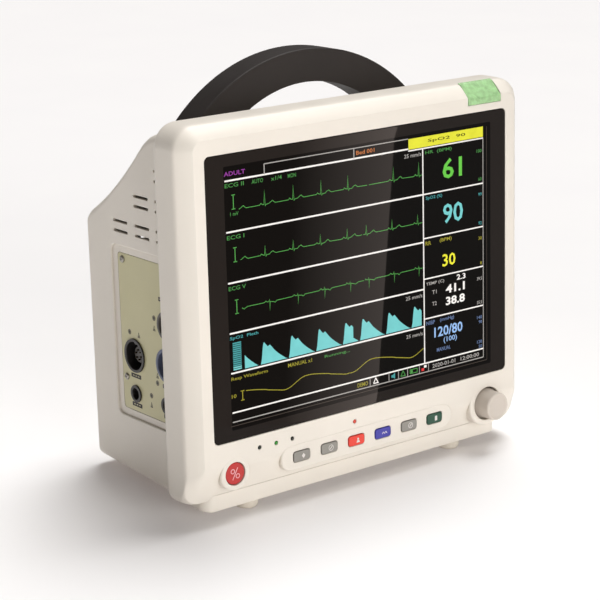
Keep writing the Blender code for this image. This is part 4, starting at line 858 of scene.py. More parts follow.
VALUE_LABELS = (
    ("2020-01-01", 68.6, -90.6, 92.4, -87.4, "grey", 0.012),
    ("12:00:00", 98.0, -90.6, 117.6, -87.4, "grey", 0.012),
    ("HR  (BPM)", 63.4, 77.9, 90.0, 81.1, "dim_green", 0.01),
    ("61", 80.6, 57.0, 100.4, 72.6, "big_green", 0.015),
    ("SpO2 (%)", 63.4, 42.9, 80.0, 46.0, "dim_cyan", 0.01),
    ("90", 80.8, 22.0, 101.2, 37.4, "cyan", 0.015),
    ("RR", 62.8, 7.9, 68.4, 11.0, "olive", 0.01),
    ("(BPM)", 77.2, 7.7, 89.4, 11.3, "olive", 0.01),
    ("30", 79.8, -11.6, 93.2, -1.8, "yellow", 0.015),
    ("TEMP (C)", 63.0, -24.4, 81.4, -21.3, "grey", 0.01),
    ("2.3", 94.4, -24.6, 103.6, -20.2, "white", 0.02),
    ("T1", 69.0, -31.4, 73.6, -28.4, "grey", 0.01),
    ("T2", 69.0, -40.6, 73.6, -37.6, "grey", 0.01),
    ("41.1", 83.0, -33.4, 102.8, -26.6, "white", 0.03),
    ("38.8", 83.0, -43.0, 102.8, -36.2, "white", 0.03),
    ("NIBP", 62.8, -55.2, 71.6, -52.2, "dim_blue", 0.01),
    ("(mmHg)", 76.8, -55.4, 91.4, -51.8, "dim_blue", 0.01),
    ("120/80", 70.8, -66.6, 100.2, -58.4, "blue", 0.02),
    ("(100)", 80.4, -73.2, 94.2, -67.8, "blue", 0.012),
    ("MANUAL", 73.4, -78.4, 87.6, -75.4, "dim_blue", 0.01),
)
LIMITS = (
    ("100", 72.6, "dim_green"), ("60", 50.4, "dim_green"), ("99", 38.4, "dim_cyan"), ("92", 15.6, "dim_cyan"),
    ("30", 3.6, "olive"), ("8", -16.4, "olive"), ("39.5", -28.8, "grey"), ("35.5", -48.0, "grey"),
    ("140", -60.2, "dim_blue"), ("90", -64.0, "dim_blue"), ("120", -80.2, "dim_blue"),
    ("50", -84.0, "dim_blue"),
)


def draw_frame(p):
    """Lines between the parts of the screen, the banner, and the dark grey edge of the panel along its right and
    bottom, drawn glowing as a painted highlight of its lit far rim.
    """
    p.across(-87.8, 46.6, 92.6, 0.7, "grey")
    p.across(LEFT_END, 46.6, HEADER, 1.25, "white")
    p.across(46.6, RIGHT_END, 83.4, 1.0, "white")
    for x in (-87.8, -5.8):
        p.up(x, HEADER, 92.6, 0.8, "grey")
    for z in ROWS:
        p.across(LEFT_END, TRACE_END + 0.4, z, 1.25, "white")
    for z in RIGHT_ROWS:
        p.across(DIVIDER, RIGHT_END, z, 1.05, "white")
    p.across(LEFT_END, RIGHT_END, FOOTER, 1.15, "white")
    p.across(LEFT_END, RIGHT_END, LOWEST, 0.8, "grey")
    p.up(DIVIDER, FOOTER, 83.4, 1.1, "white")
    p.up(RIGHT_END, LOWEST, 83.4, 0.7, "grey")
    p.bar(46.8, 84.4, RIGHT_END, 92.4, "banner")
    # Painted highlight: glowing lines along the right and bottom edges of the panel, standing for its far rim
    # where it catches light.
    p.up(126.0, -95.0, 92.0, 0.5, "frame")
    p.across(-124.0, 126.0, -95.2, 0.6, "frame")
    p.words("SpO2  90", 66.0, 86.9, 104.0, 89.9, "ink", 0.01, OVER_THAT)


def draw_waves(p):
    """Scale marks, the three heart traces, the pulses with their bar, and the breathing curve."""
    for x, low, high, colour in ((-115.6, 64.2, 74.3, "green"), (-115.6, 26.0, 36.2, "green"),
                                 (-115.6, -12.0, -2.0, "green"), (-113.1, -77.2, -70.3, "olive")):
        p.up(x, low, high, 0.7, colour)
        p.across(x - 1.6, x + 1.6, low, 0.6, colour)
        p.across(x - 1.6, x + 1.6, high, 0.6, colour)

    trace(p, (-114.0, -88.2, -62.4, -37.0, -11.9, 31.7, 56.7), 63.4, 10.0, (6.2, 8.0))
    trace(p, (-114.0, -89.0, -63.6, -38.6, -13.4, 4.8, 29.8, 55.2), 26.6, 6.8, (0.4, 1.6))
    trace(p, (-114.0, -86.4, -60.6, -35.8, -11.4, 6.4, 31.2, 55.8), -8.6, 6.4, (1.6, 3.0), True)

    base, foot = -54.1, -95.9
    p.shape([(-110.2, base), (-110.2, -44.0), (-108.0, -46.4), (-104.4, -49.6), (-100.6, -52.6),
             (-98.2, base)], "cyan", OVER)
    for i in range(3):
        p.shape(pulse(foot + 25.5 * i, base), "cyan", OVER)
    p.shape(pulse(foot + 76.2, base, 0.41), "cyan", OVER)
    p.shape([(-9.9, base), (-9.9, -50.6), (-7.4, -52.2), (-4.6, base)], "cyan", OVER)
    for i in range(2):
        p.shape(pulse(-3.1 + 25.5 * i, base), "cyan", OVER)
    p.shape(pulse(47.9, base, 0.41), "cyan", OVER)
    for i in range(14):
        z = -53.6 + 1.5 * i
        p.bar(-120.4, z, -113.0, z + 1.05, "dim_cyan" if i > 1 else "cyan")

    count = 64
    for left, right, start in ((-110.0, -13.6, 0.0), (-13.4, TRACE_END, 0.575)):
        points = []
        for i in range(count + 1):
            x = left + (right - left) * i / count
            points.append((x, -77.6 + 6.8 * breath((start + (x - left) / 58.5) % 1.0)))
        p.stroke(points, 0.6, "olive", OVER)


def draw_footer(p):
    """Small generic marks in the fields of the lowest row."""
    for x in (5.9, 24.6, 34.1, 43.3, 55.3, 64.6):
        p.up(x, LOWEST, FOOTER, 0.6, "grey")
    p.stroke([(9.2, -90.6), (13.8, -90.6), (11.5, -86.6), (9.2, -90.6)], 0.8, "white", OVER)
    p.shape([(27.0, -89.8), (28.6, -89.8), (30.6, -91.2), (30.6, -86.4), (28.6, -87.8), (27.0, -87.8)],
            "dim_cyan", OVER)
    p.stroke([(36.4, -90.6), (41.0, -90.6), (38.7, -86.6), (36.4, -90.6)], 0.7, "dim_green", OVER)
    p.stroke([(45.8, -90.4), (53.0, -90.4), (53.0, -87.4), (45.8, -87.4), (45.8, -90.4)], 0.5, "green", OVER)
    p.bar(46.4, -89.9, 48.4, -87.9, "green", OVER_THAT)
    p.bar(57.4, -90.8, 60.0, -88.6, "red", OVER)
    p.bar(60.0, -88.6, 62.6, -86.6, "white", OVER)


def make_picture():
    p = Picture()
    draw_frame(p)
    for label in WAVE_LABELS:
        p.words(*label)
    draw_waves(p)
    draw_footer(p)
    for label in VALUE_LABELS:
        p.words(*label)
    for text, z, colour in LIMITS:
        wide = 1.75 * len(text.replace(".", ""))
        p.words(text, 120.8 - wide, z, 120.8, z + 2.6, colour, 0.01)

    for face in p.bm.faces:
        face.normal_update()
        if face.normal.y > 0.0:
            face.normal_flip()
    obj = meshed(p.bm, "picture", [lit("lit_" + name, tone) for name, tone in PICTURE.items()])
    step = obj.modifiers.new("thickness", "SOLIDIFY")
    step.thickness = 0.02 * MM
    step.offset = -1.0
    settled(obj)
    finish(obj, "screen_picture", slot="panel_backing", weigh=False)


# ---------------------------------------------------------------- lamp, lights, keys, button, knob

def make_lamp():
    bm = bmesh.new()
    profile = [(-0.0006, 0.111), (-0.0006, 0.1161), (0.0089, 0.1260), (0.0120, 0.1274), (0.0120, 0.1225),
               (0.0050, 0.1155), (0.0050, 0.111)]
    prism(bm, profile, along_x, *LAMP_X)
    finish(solid(bm, LAMP), "lamp_lens", slot="lamp_green", stands_for=["alarm_lamp"], bevel=0.0007)


def make_indicators():
    for name, x in LED_XS.items():
        bm = bmesh.new()
        turned(bm, (x, LED_Z), along_y, ((0.0004, -0.00045), (0.0008, -0.00035), (0.0011, -0.0001),
                                         (0.0014, 0.0004), (0.0014, 0.0090)), 24)
        finish(solid(bm, LIGHTS[name]), name + "_lens", slot=SLOT_OF[name], stands_for=[name])


def ring(bm, u, v, radius, width, y, high):
    outer, inner = circle(u, v, radius, 28), circle(u, v, radius - width, 28)
    loops = [along_y(outer, y), along_y(outer, y - high), along_y(inner, y - high), along_y(inner, y)]
    loft(bm, loops, material=1, closed=True)


def stick(bm, a, b, width, y, high):
    """Thin raised bar between two points on a face."""
    way = Vector((b[0] - a[0], b[1] - a[1])).normalized()
    off = Vector((-way.y, way.x)) * 0.5 * width
    outline = [(a[0] + off.x, a[1] + off.y), (a[0] - off.x, a[1] - off.y), (b[0] - off.x, b[1] - off.y),
               (b[0] + off.x, b[1] + off.y)]
    prism(bm, outline, along_y, y, y - high, material=1)


def key_icon(bm, number, x):
    """Generic pictogram, a hair above the key's face, right of its middle."""
    y, high, z = KEY_FACE - 0.00001, 0.00004, ROW_Z
    u = x + 0.0012
    if number == 1:
        outline = [(u, z + 0.0020), (u + 0.0016, z), (u, z - 0.0022), (u - 0.0016, z)]
        prism(bm, outline, along_y, y, y - high, material=1)
    elif number in (2, 5):
        ring(bm, u, z, 0.0023, 0.0004, y, high)
        stick(bm, (u - 0.0009, z - 0.0009), (u + 0.0011, z + 0.0011), 0.0006, y, high)
    elif number == 3:
        prism(bm, circle(u, z + 0.0010, 0.0009, 16), along_y, y, y - high, material=1)
        outline = [(u - 0.0016, z - 0.0019), (u + 0.0016, z - 0.0019), (u + 0.0009, z), (u - 0.0009, z)]
        prism(bm, outline, along_y, y, y - high, material=1)
    elif number == 4:
        for i in range(4):
            a = (u - 0.0024 + 0.0012 * i, z + (0.0008 if i % 2 else -0.0008))
            b = (u - 0.0012 + 0.0012 * i, z + (-0.0008 if i % 2 else 0.0008))
            stick(bm, a, b, 0.0005, y, high)
    else:
        outline = rounded(u - 0.0012, u + 0.0012, z - 0.0019, z + 0.0019, 0.0005, steps=3)
        prism(bm, outline, along_y, y, y - high, material=1)


def make_keys():
    tones = ("grey", "grey", "red", "blue", "grey", "green")
    for number, (x, tone) in enumerate(zip(key_xs(), tones), 1):
        bm = bmesh.new()
        cushion(bm, lambda inset, x=x: key_outline(x, inset), along_y, KEY_FACE, RING_BACK, 0.0007, 4)
        key_icon(bm, number, x)
        node = "function_key_%d" % number
        finish(solid(bm, KEYS[tone], INK), "key_cap_%d" % number, body=node, slot=SLOT_OF[node],
               stands_for=[node])


def make_power_button():
    bm = bmesh.new()
    centre = (POWER_X, ROW_Z)
    turned(bm, centre, along_y, ((0.0030, 0.00055), (0.0060, 0.00045), (0.0074, 0.00035), (0.0079, 0.00045),
                                 (0.0082, 0.0007), (POWER_R, 0.0012), (POWER_R, 0.0100)), 64)
    y, high = 0.00034, 0.00008
    for u, v in ((-0.0021, 0.0020), (0.0022, -0.0021)):
        ring(bm, POWER_X + u, ROW_Z + v, 0.0019, 0.00065, y, high)
    stick(bm, (POWER_X - 0.0024, ROW_Z - 0.0044), (POWER_X + 0.0024, ROW_Z + 0.0044), 0.0007, y, high)
    ink = moulded("power_mark", srgb(244, 186, 190), rough=0.5, grain=2500.0, dirt_and_shade=0.0)
    finish(solid(bm, RED, ink), "power_button_cap", body="power_button", slot="power_red",
           stands_for=["power_button"])


def make_knob():
    """Turned cap with a finely ribbed side, a rounded rim and a shallow dished face."""
    ribs = 72
    steps = ribs * 2
    bm = bmesh.new()

    def wheel(radius, at, rib=0.0):
        points = []
        for i in range(steps):
            angle = 2.0 * math.pi * i / steps
            r = radius - (rib if i % 2 else 0.0)
            points.append((KNOB_X + r * math.cos(angle), at, ROW_Z + r * math.sin(angle)))
        return points

    smooth_back = ((0.0006, -0.0070), (0.0032, -0.0070), (0.0032, 0.0040), (0.0122, 0.0040), (0.0122, 0.0020),
                   (0.0120, 0.0008), (0.0115, -0.0002))
    smooth_face = ((0.01115, -0.0106), (0.01105, -0.0114), (0.0108, -0.0120), (0.0103, -0.0124),
                   (0.0098, -0.0125), (0.0092, -0.01235), (0.0088, -0.0121), (0.0080, -0.0120),
                   (0.0040, -0.01195), (0.0006, -0.01195))
    loops = [wheel(radius, at) for radius, at in smooth_back]
    loops += [wheel(0.01135, -0.0012, 0.00016), wheel(0.0112, -0.0100, 0.00016)]
    loops += [wheel(radius, at) for radius, at in smooth_face]
    loft(bm, loops)
    finish(solid(bm, KNOB), "knob_cap", body="encoder_knob", slot="case_plastic", stands_for=["encoder_knob"],
           sharp=24.0)


# ---------------------------------------------------------------- rear housing

def underside(depth):
    return HOUSE_LOW - (HOUSE_BACK - depth) * RISE


def slope_height(depth):
    (y0, z0), (y1, z1) = SLOPE_TOP, SLOPE_END
    t = (depth - y0) / (y1 - y0)
    return z0 + (z1 - z0) * t - 4.0 * SLOPE_SAG * t * (1.0 - t)


def top_line():
    """Top of the rear housing as (depth, height), smoothed between the points that shape it."""
    fine = 3
    knots = [(HOUSE_FRONT, 0.1165), (0.0500, 0.1158), (0.0600, 0.1136), (0.0670, 0.1112), (0.0725, 0.1076)]
    for i in range(8):
        depth = SLOPE_TOP[0] + (SLOPE_END[0] - SLOPE_TOP[0]) * i / 7
        knots.append((depth, slope_height(depth)))
    line = []
    for i in range(len(knots) - 1):
        a = Vector(knots[max(i - 1, 0)])
        b, c = Vector(knots[i]), Vector(knots[i + 1])
        d = Vector(knots[min(i + 2, len(knots) - 1)])
        for k in range(fine):
            t = k / fine
            line.append(tuple(0.5 * (2.0 * b + (c - a) * t + (2.0 * a - 5.0 * b + 4.0 * c - d) * t * t
                                     + (3.0 * b - 3.0 * c + d - a) * t ** 3)))
    line.append(knots[-1])
    return line


def housing_loops(inset, back):
    """Sections of the housing from front to back, set in by the inset and held before the back."""
    loops = []
    half = HOUSE_HALF_W - inset
    for depth, top in top_line():
        outline = rounded(-half, half, underside(depth) + inset, top - inset, 0.007, 0.006)
        loops.append(along_y(outline, min(depth, back)))
    radius = 0.0040
    start = SLOPE_END[1]
    for shrink, drop in reversed(quarter(radius, 6)):
        depth = HOUSE_BACK - drop
        top = start - 0.9 * (depth - SLOPE_END[0]) - 0.35 * shrink
        low = underside(depth) + inset + shrink
        outline = rounded(-half + shrink, half - shrink, low, top - inset, 0.007, 0.006)
        loops.append(along_y(outline, min(depth, back)))
    return loops


def cut_vents(bm, side):
    """Pairs of slots with round ends through a side wall, in rows that get longer to the bottom."""
    face = side * HOUSE_HALF_W
    for high, columns in SIDE_VENTS:
        for row in range(2):
            z = high - SIDE_VENT_PAIR * (row - 0.5)
            for back in SIDE_VENT_BACKS[:columns]:
                front = max(back - SIDE_VENT_LONG, HOUSE_FRONT + 0.0025)
                slot = framed(front, back, z - SIDE_VENT_HALF, z + SIDE_VENT_HALF, 0.00098, 5)
                mouth(bm, slot, along_x, face, face - side * 0.006, 0.0003)


def make_housing():
    bm = bmesh.new()
    loft(bm, housing_loops(0.0, HOUSE_BACK))
    house = solid(bm, CASE)
    bm = bmesh.new()
    inner = housing_loops(WALL, HOUSE_BACK - WALL)
    inner = [[(x, min(y, HOUSE_BACK - WALL - 0.0001 * (len(inner) - i)), z) for x, y, z in loop]
             for i, loop in enumerate(inner)]
    first = [(x, HOUSE_FRONT - 0.002, z) for x, y, z in inner[0]]
    loft(bm, [first] + inner)
    carve(house, bm)

    bm = bmesh.new()
    loft(bm, chin_loops(CHIN_HALF_W, CHIN_FRONT, CHIN_TOP, 0.0, CHIN_BACK))
    carve(house, bm, "UNION")
    bm = bmesh.new()
    block(bm, (-CHIN_HALF_W + 0.004, CHIN_HALF_W - 0.004), (CHIN_FRONT + 0.0045, 0.0440),
          (CHIN_LOW + 0.0045, CHIN_TOP - WALL))
    carve(house, bm)

    front, back, low, high = POCKET
    bm = bmesh.new()
    block(bm, (-HOUSE_HALF_W + 0.001, -HOUSE_HALF_W + 0.0065), (HOUSE_FRONT + 0.0002, back + WALL),
          (low - WALL, high + WALL))
    carve(house, bm, "UNION")
    bm = bmesh.new()
    mouth(bm, framed(front, back, low, high, 0.006), along_x, -HOUSE_HALF_W, PLATE_FACE, 0.0012, 5)
    carve(house, bm)
    front, back, low, high = PLATE_SHEET
    bm = bmesh.new()
    prism(bm, rounded(front - GAP, back + GAP, low - GAP, high + GAP, PLATE_CORNER), along_x,
          -HOUSE_HALF_W + 0.001, PLATE_FACE + 0.0018)
    carve(house, bm)
    bm = bmesh.new()
    prism(bm, rounded(*SOCKET_OPENING, 0.003), along_x, -HOUSE_HALF_W, -HOUSE_HALF_W + 0.012)
    cut_vents(bm, 1.0)
    cut_vents(bm, -1.0)
    carve(house, bm)

    deep = HOUSE_BACK - 0.008
    bm = bmesh.new()
    mouth(bm, framed(*REAR_OPENING, 0.003), along_y, HOUSE_BACK, deep, 0.0008)
    for x, z in POSTS:
        prism(bm, circle(x, z, 0.0019, 24), along_y, deep, HOUSE_BACK + 0.002)
    wide, high = BACK_VENT_HALF
    for row in range(5):
        z = -0.020 + 0.009 * row
        for column in range(4):
            x = -0.078 + 0.052 * column
            slot = framed(x - wide, x + wide, z - high, z + high, 0.00145, 5)
            mouth(bm, slot, along_y, HOUSE_BACK, deep, 0.0004)
    carve(house, bm)
    bm = bmesh.new()
    near, far = DOOR_DEPTHS
    block(bm, DOOR_SIDES, DOOR_DEPTHS, (underside(near) - 0.004, underside(far) + 0.006))
    for x in (-HANDLE_SCREW_X, HANDLE_SCREW_X):
        prism(bm, circle(x, 0.080, 0.0024, 24), along_z, 0.085, 0.1050)
    carve(house, bm)
    finish(house, "housing_shell", slot="case_plastic", stands_for=["rear_housing"])


# ---------------------------------------------------------------- connector plate and sockets

def screw(bm, centre, place, face, radius, way, high):
    """Pan head with a domed top."""
    profile = ((radius * 0.30, face + way * high), (radius * 0.62, face + way * high * 0.95),
               (radius * 0.86, face + way * high * 0.72), (radius * 0.98, face + way * high * 0.38),
               (radius, face + way * high * 0.10), (radius, face), (radius * 0.42, face),
               (radius * 0.42, face - way * 0.004))
    turned(bm, centre, place, profile, 32)


def cross(bm, centre, place, top, size, depth):
    """Cutter for a cross recess."""
    u, v = centre
    half = size * 0.24
    arm = ((size, -half), (size, half), (half, half))
    outline = []
    for turn in range(4):
        for a, b in arm:
            for _ in range(turn):
                a, b = -b, a
            outline.append((u + a, v + b))
    prism(bm, outline, place, top - depth, top + depth)


def make_screws():
    plate = ("plate_screw_%d", PLATE_SCREWS, along_x, PLATE_FACE - GAP, 0.0027, -1.0, 0.0011, 0.0015, 0.0006)
    housing = ("housing_screw_%d", POSTS, along_y, HOUSE_BACK + GAP, 0.0036, 1.0, 0.0017, 0.0021, 0.0009)
    for name, centres, place, face, radius, way, high, size, depth in (plate, housing):
        for number, centre in enumerate(centres, 1):
            bm = bmesh.new()
            screw(bm, centre, place, face, radius, way, high)
            piece = solid(bm, STEEL)
            bm = bmesh.new()
            cross(bm, centre, place, face + way * high, size, depth)
            carve(piece, bm)
            node = name % number
            finish(piece, node + "_head", slot="steel", stands_for=[node])


def make_plate():
    bm = bmesh.new()
    cushion(bm, framed(*PLATE_SHEET, PLATE_CORNER), along_x, PLATE_FACE, PLATE_FACE + 0.0015, 0.0003, 3)
    plate = solid(bm, PLATE)
    bm = bmesh.new()
    for y, z, radius in SOCKETS.values():
        prism(bm, circle(y, z, radius - 0.0009), along_x, PLATE_FACE - 0.001, PLATE_FACE + 0.003)
    carve(plate, bm)
    finish(plate, "plate_sheet", slot="plate_metal", stands_for=["connector_plate"])

    bm = bmesh.new()
    face, high = PLATE_FACE - 0.00002, 0.00005
    for y, z in ((0.1039, -0.0410), (0.0701, -0.0237), (0.0690, -0.0732), (0.0779, -0.0850)):
        prism(bm, circle(y, z, 0.0021, 24), along_x, face, face - high, material=1)
        prism(bm, circle(y, z, 0.0009, 16), along_x, face - high - 0.00002, face - 2.0 * high, material=2)
    for y, z in ((0.0915, -0.0411), (0.0703, -0.0313), (0.0686, -0.0672), (0.0782, -0.0921)):
        wide, tall, line = 0.0016, 0.0022, 0.0004
        outer = [(y - wide, z - tall), (y + wide, z - tall), (y, z + tall)]
        inner = [(y - wide + 1.7 * line, z - tall + line), (y + wide - 1.7 * line, z - tall + line),
                 (y, z + tall - 2.4 * line)]
        loft(bm, [along_x(outer, face), along_x(outer, face - high), along_x(inner, face - high),
                  along_x(inner, face)], material=2, closed=True)
        prism(bm, circle(y, z - 0.5 * tall, 0.0005, 12), along_x, face, face - high, material=2)
    for y, z, wide in ((0.0976, -0.0742, 0.0066), (0.0978, -0.0968, 0.0066), (0.0609, -0.0077, 0.0022),
                       (0.0570, -0.0737, 0.0050), (0.0570, -0.0969, 0.0050)):
        label = rounded(y - wide, y + wide, z - 0.0016, z + 0.0016, 0.0004, steps=3)
        prism(bm, label, along_x, face, face - high, material=2)
        for i in range(3):
            u = y - 0.5 * wide + 0.5 * wide * i
            dash = rounded(u - 0.16 * wide, u + 0.16 * wide, z - 0.0003, z + 0.0003, 0.0002, steps=2)
            prism(bm, dash, along_x, face - high - 0.00002, face - 2.0 * high)
    finish(solid(bm, PLATE, INK_GREY, INK_DARK), "plate_marks", slot="plate_metal", weigh=False)


def make_sockets():
    tones = {"spo2_socket": SOCKET_BLUE, "nibp_socket": SOCKET_GREY}
    for name, (y, z, radius) in SOCKETS.items():
        flange = PLATE_FACE - GAP
        lip = 0.0011
        throat = radius - 0.0026
        end = PLATE_FACE + 0.012
        rim = 0.0004
        profile = [(0.0005, end - 0.0025), (throat - 0.0002, end - 0.0025), (throat, end - 0.0027)]
        profile += [(throat, flange - lip + 0.0012), (throat + 0.0002, flange - lip + 0.0006)]
        profile += [(throat + 0.0005, flange - lip + 0.0001), (throat + 0.0008, flange - lip)]
        profile += [(radius - rim, flange - lip), (radius - 0.3 * rim, flange - lip + 0.12 * rim),
                    (radius, flange - lip + rim), (radius, flange), (radius - 0.0013, flange),
                    (radius - 0.0013, end), (0.0005, end)]
        bm = bmesh.new()
        turned(bm, (y, z), along_x, profile, 64)
        pins = 6 if radius > 0.010 else 1
        core = throat * 0.62
        insert = [(core - 0.0006, end - 0.0085), (core, end - 0.0080), (core, end - 0.0024)]
        turned(bm, (y, z), along_x, insert, 40, material=1)
        for i in range(pins):
            angle = 2.0 * math.pi * i / pins + 0.3
            reach = 0.55 * core if pins > 1 else 0.0
            turned(bm, (y + reach * math.cos(angle), z + reach * math.sin(angle)), along_x,
                   ((0.0004, end - 0.0101), (0.0007, end - 0.0097), (0.0007, end - 0.0070)), 12, material=2)
        keyway = rounded(y - 0.0012, y + 0.0012, z + throat - 0.0019, z + throat + 0.0001, 0.0003, steps=2)
        prism(bm, keyway, along_x, flange - lip + 0.0020, end - 0.0024)
        outer = tones.get(name, SOCKET_BLACK)
        finish(solid(bm, outer, SOCKET_GREY, GOLD), name + "_shell", slot=SLOT_OF[name], stands_for=[name],
               sharp=28.0)


# ---------------------------------------------------------------- handle, feet and back

def make_handle():
    outer_z, outer_r = 0.018, 0.1412
    inner_z, inner_r = 0.029, 0.1050
    foot = 0.075
    front, back = 0.066, 0.092
    start_outer = math.asin((foot - outer_z) / outer_r)
    start_inner = math.asin((foot - inner_z) / inner_r)
    steps = 84
    edge = 0.0013
    curve = quarter(edge)
    loops = []
    for i in range(steps + 1):
        t = i / steps
        a = start_outer + (math.pi - 2.0 * start_outer) * t
        b = start_inner + (math.pi - 2.0 * start_inner) * t
        o = Vector((outer_r * math.cos(a), outer_z + outer_r * math.sin(a)))
        n = Vector((inner_r * math.cos(b), inner_z + inner_r * math.sin(b)))
        way = (n - o).normalized()

        def at(base, inset, depth):
            p = base + way * inset
            return (p.x, depth, p.y)

        loop = [at(o, inset, front + drop) for inset, drop in reversed(curve)]
        loop += [at(n, -inset, front + drop) for inset, drop in curve]
        loop += [at(n, -inset, back - drop) for inset, drop in reversed(curve)]
        loop += [at(o, inset, back - drop) for inset, drop in curve]
        loops.append(loop)
    bm = bmesh.new()
    loft(bm, loops)
    handle = solid(bm, HANDLE)
    bm = bmesh.new()
    loft(bm, housing_loops(-GAP, HOUSE_BACK))
    carve(handle, bm)
    finish(handle, "handle_grip", slot="handle_plastic", stands_for=["carry_handle"])


def make_feet():
    for name in ("front_foot_left", "front_foot_right", "rear_foot_left", "rear_foot_right"):
        low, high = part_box(name)
        centre = (0.5 * (low.x + high.x), 0.5 * (low.y + high.y))
        radius = 0.5 * (high.x - low.x)
        profile = [(radius * 0.55, 0.0004), (radius * 0.60, 0.0), (radius - 0.0016, 0.0),
                   (radius - 0.0008, 0.0003), (radius - 0.0003, 0.0009), (radius, 0.0017),
                   (radius, high.z - 0.0002), (radius - 0.0002, high.z)]
        bm = bmesh.new()
        turned(bm, centre, along_z, profile, 56)
        finish(solid(bm, FOOT), name + "_pad", slot="foot_rubber", stands_for=[name],
               place=Matrix.Identity(4))


def dress_cad_nodes():
    """Gives every CAD node that still shows its procedural finish."""
    by_slot = {
        "case_plastic": CASE, "handle_plastic": HANDLE, "window_glass": PRINT, "plate_metal": PLATE,
        "socket_plastic": SOCKET_BLACK, "socket_blue": SOCKET_BLUE, "steel": STEEL, "board_green": BOARD,
        "foot_rubber": FOOT, "seal_foam": FOAM, "lamp_green": LAMP, "power_red": RED, "panel_backing": PANEL,
        "battery_wrap": WRAP, "led_green": LIGHTS["led_power"], "led_red": LIGHTS["led_alarm"],
        "led_dark": LIGHTS["led_mains"],
    }
    by_slot.update({"key_" + tone: made for tone, made in KEYS.items()})
    special = {"lcd_panel": DISPLAY_BLACK}
    for name, obj in frame["nodes"].items():
        tone = special.get(name, by_slot[SLOT_OF[name]])
        if not obj.data.materials:
            obj.data.materials.append(tone)
        for place in obj.material_slots:
            place.link = "OBJECT"
            place.material = tone


# ---------------------------------------------------------------- floor, lights and camera

def unseen(obj, *ways):
    """Keeps the object out of these kinds of ray."""
    for way in ways:
        setattr(obj, "visible_" + way, False)


def make_stage():
    size = STAGE_SIZE
    bm = bmesh.new()
    corners = along_z([(-size, -size), (size, -size), (size, size), (-size, size)], FLOOR_Z)
    bm.faces.new([bm.verts.new(p) for p in corners])
    n = Nodes("floor_paper")
    uneven = n.spread(n.noise(n.coords(), 6.0, 3.0), 0.0, 1.0)
    n.link(n.mix(uneven, (0.85, 0.85, 0.85, 1.0), (0.835, 0.835, 0.84, 1.0)), n.shader.inputs["Base Color"])
    n.fix({"Roughness": 0.7, "Specular IOR Level": 0.2, "Emission Color": (1.0, 0.87, 0.85, 1.0),
           "Emission Strength": 0.09})
    floor = solid(bm, n.made)
    floor.name = "floor"

    bm = bmesh.new()
    wall = circle(0.0, 0.0, 0.9 * size, 64)
    loft(bm, [along_z(wall, -0.1), along_z(wall, size)], caps=(False, False))
    n = Nodes("backdrop_paper")
    n.fix({"Base Color": BLACK, "Emission Color": (1.0, 1.0, 1.0, 1.0)})
    n.link(n.spread(n.noise(n.coords(), 0.1, 1.0), 0.97, 1.03), n.shader.inputs["Emission Strength"])
    backdrop = solid(bm, n.made)
    backdrop.name = "backdrop"
    unseen(backdrop, "diffuse", "glossy", "shadow", "transmission")


def make_flag():
    """A black screen to the right, unseen by the camera, that holds back light thrown up from the floor."""
    bm = bmesh.new()
    near, far = FLAG_DEPTHS
    corners = along_x([(near, 0.0), (far, 0.0), (far, FLAG_HIGH), (near, FLAG_HIGH)], FLAG_X)
    bm.faces.new([bm.verts.new(p) for p in corners])
    flag = solid(bm, moulded("flag_cloth", srgb(20, 20, 20), specular=0.0))
    flag.name = "flag"
    unseen(flag, "camera", "glossy", "shadow", "transmission")


def on_floor(point_in_window):
    """Where the camera's mirrored line through a point of the window meets the floor."""
    eye = Vector((CAMERA_AT[0], -CAMERA_AT[1], CAMERA_AT[2]))
    start = STANCE @ Vector(point_in_window)
    way = start - STANCE @ eye
    return start + way * ((CARD_HEIGHT - start.z) / way.z)


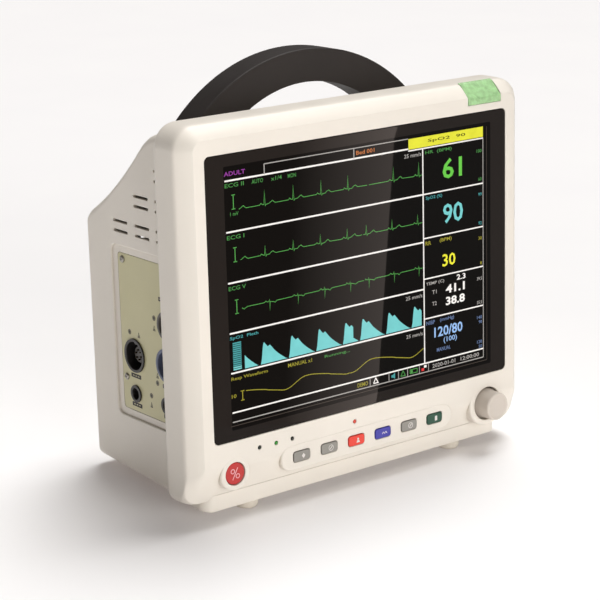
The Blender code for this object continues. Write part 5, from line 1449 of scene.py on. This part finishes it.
def make_glare_card():
    """A lit sheet on the floor, seen only in gloss, whose right edge the window mirrors as a slanted line."""
    low, high = on_floor(GLARE_LOW), on_floor(GLARE_TOP)
    along = (high - low).normalized()
    off = Vector((along.y, -along.x, 0.0))
    high = low + along * (high - low).length * CARD_LENGTH
    bm = bmesh.new()
    wide, more = off * CARD_WIDTH, along * CARD_MORE
    points = [low - more, high, high + wide, low + wide - more]
    turn = Matrix((along, off, along.cross(off))).transposed().to_4x4()
    turn.translation = low
    inverse = turn.inverted()
    bm.faces.new([bm.verts.new(inverse @ p) for p in points])
    n = Nodes("glare_card")
    where = n.add("ShaderNodeSeparateXYZ")
    n.link(n.coords(), where.inputs[0])
    fade = n.add("ShaderNodeMath", {1: GLARE_SPREAD[0], 2: GLARE_SPREAD[1]}, operation="MULTIPLY_ADD")
    n.link(where.outputs["X"], fade.inputs[0])
    share = n.add("ShaderNodeMath", operation="DIVIDE")
    n.link(where.outputs["Y"], share.inputs[0])
    n.link(fade.outputs["Value"], share.inputs[1])
    strength = n.spread(share.outputs["Value"], GLARE_BRIGHT, 1.0, 0.0, 0.66)
    n.fix({"Base Color": BLACK, "Emission Color": (1.0, 0.85, 0.78, 1.0)})
    n.link(strength, n.shader.inputs["Emission Strength"])
    card = meshed(bm, "glare_card", [n.made])
    card.matrix_world = turn
    unseen(card, "camera", "diffuse", "shadow", "transmission")


def make_lights():
    world = bpy.data.worlds.new("studio")
    world.use_nodes = True
    shade = world.node_tree.nodes["Background"]
    shade.inputs["Color"].default_value = (1.0, 0.95, 0.92, 1.0)
    shade.inputs["Strength"].default_value = 0.12
    bpy.context.scene.world = world

    data = bpy.data.lights.new("key", "AREA")
    data.shape = "RECTANGLE"
    data.size, data.size_y = LIGHT_SIZE
    data.energy = LIGHT_POWER
    data.color = (1.0, 0.985, 0.965)
    key = placed("key", data)
    key.location = LIGHT_AT
    key.rotation_euler = (Vector(LIGHT_AIM) - Vector(LIGHT_AT)).to_track_quat("-Z", "Y").to_euler()

    data = bpy.data.lights.new("top", "SUN")
    data.angle = SUN_WIDTH
    data.energy = SUN_POWER
    data.color = (1.0, 0.99, 0.98)
    placed("top", data).rotation_euler = SUN_TURN


def make_camera():
    data = bpy.data.cameras.new("camera")
    data.sensor_width = 36.0
    data.lens = CAMERA_LENS
    data.shift_x, data.shift_y = CAMERA_SHIFT
    data.clip_start = 0.05
    camera = placed("camera", data)
    right = Vector(CAMERA_RIGHT).normalized()
    ahead = Vector(CAMERA_AHEAD).normalized()
    turn = Matrix((right, right.cross(ahead), -ahead)).transposed().to_4x4()
    turn.translation = Vector(CAMERA_AT)
    camera.matrix_world = STANCE @ turn
    bpy.context.scene.camera = camera
    bpy.context.scene.view_settings.view_transform = "Standard"


make_bezel()
make_window()
make_picture()
make_lamp()
make_indicators()
make_keys()
make_power_button()
make_knob()
make_housing()
make_plate()
make_sockets()
make_screws()
make_handle()
make_feet()
dress_cad_nodes()
make_stage()
make_flag()
make_glare_card()
make_lights()
make_camera()
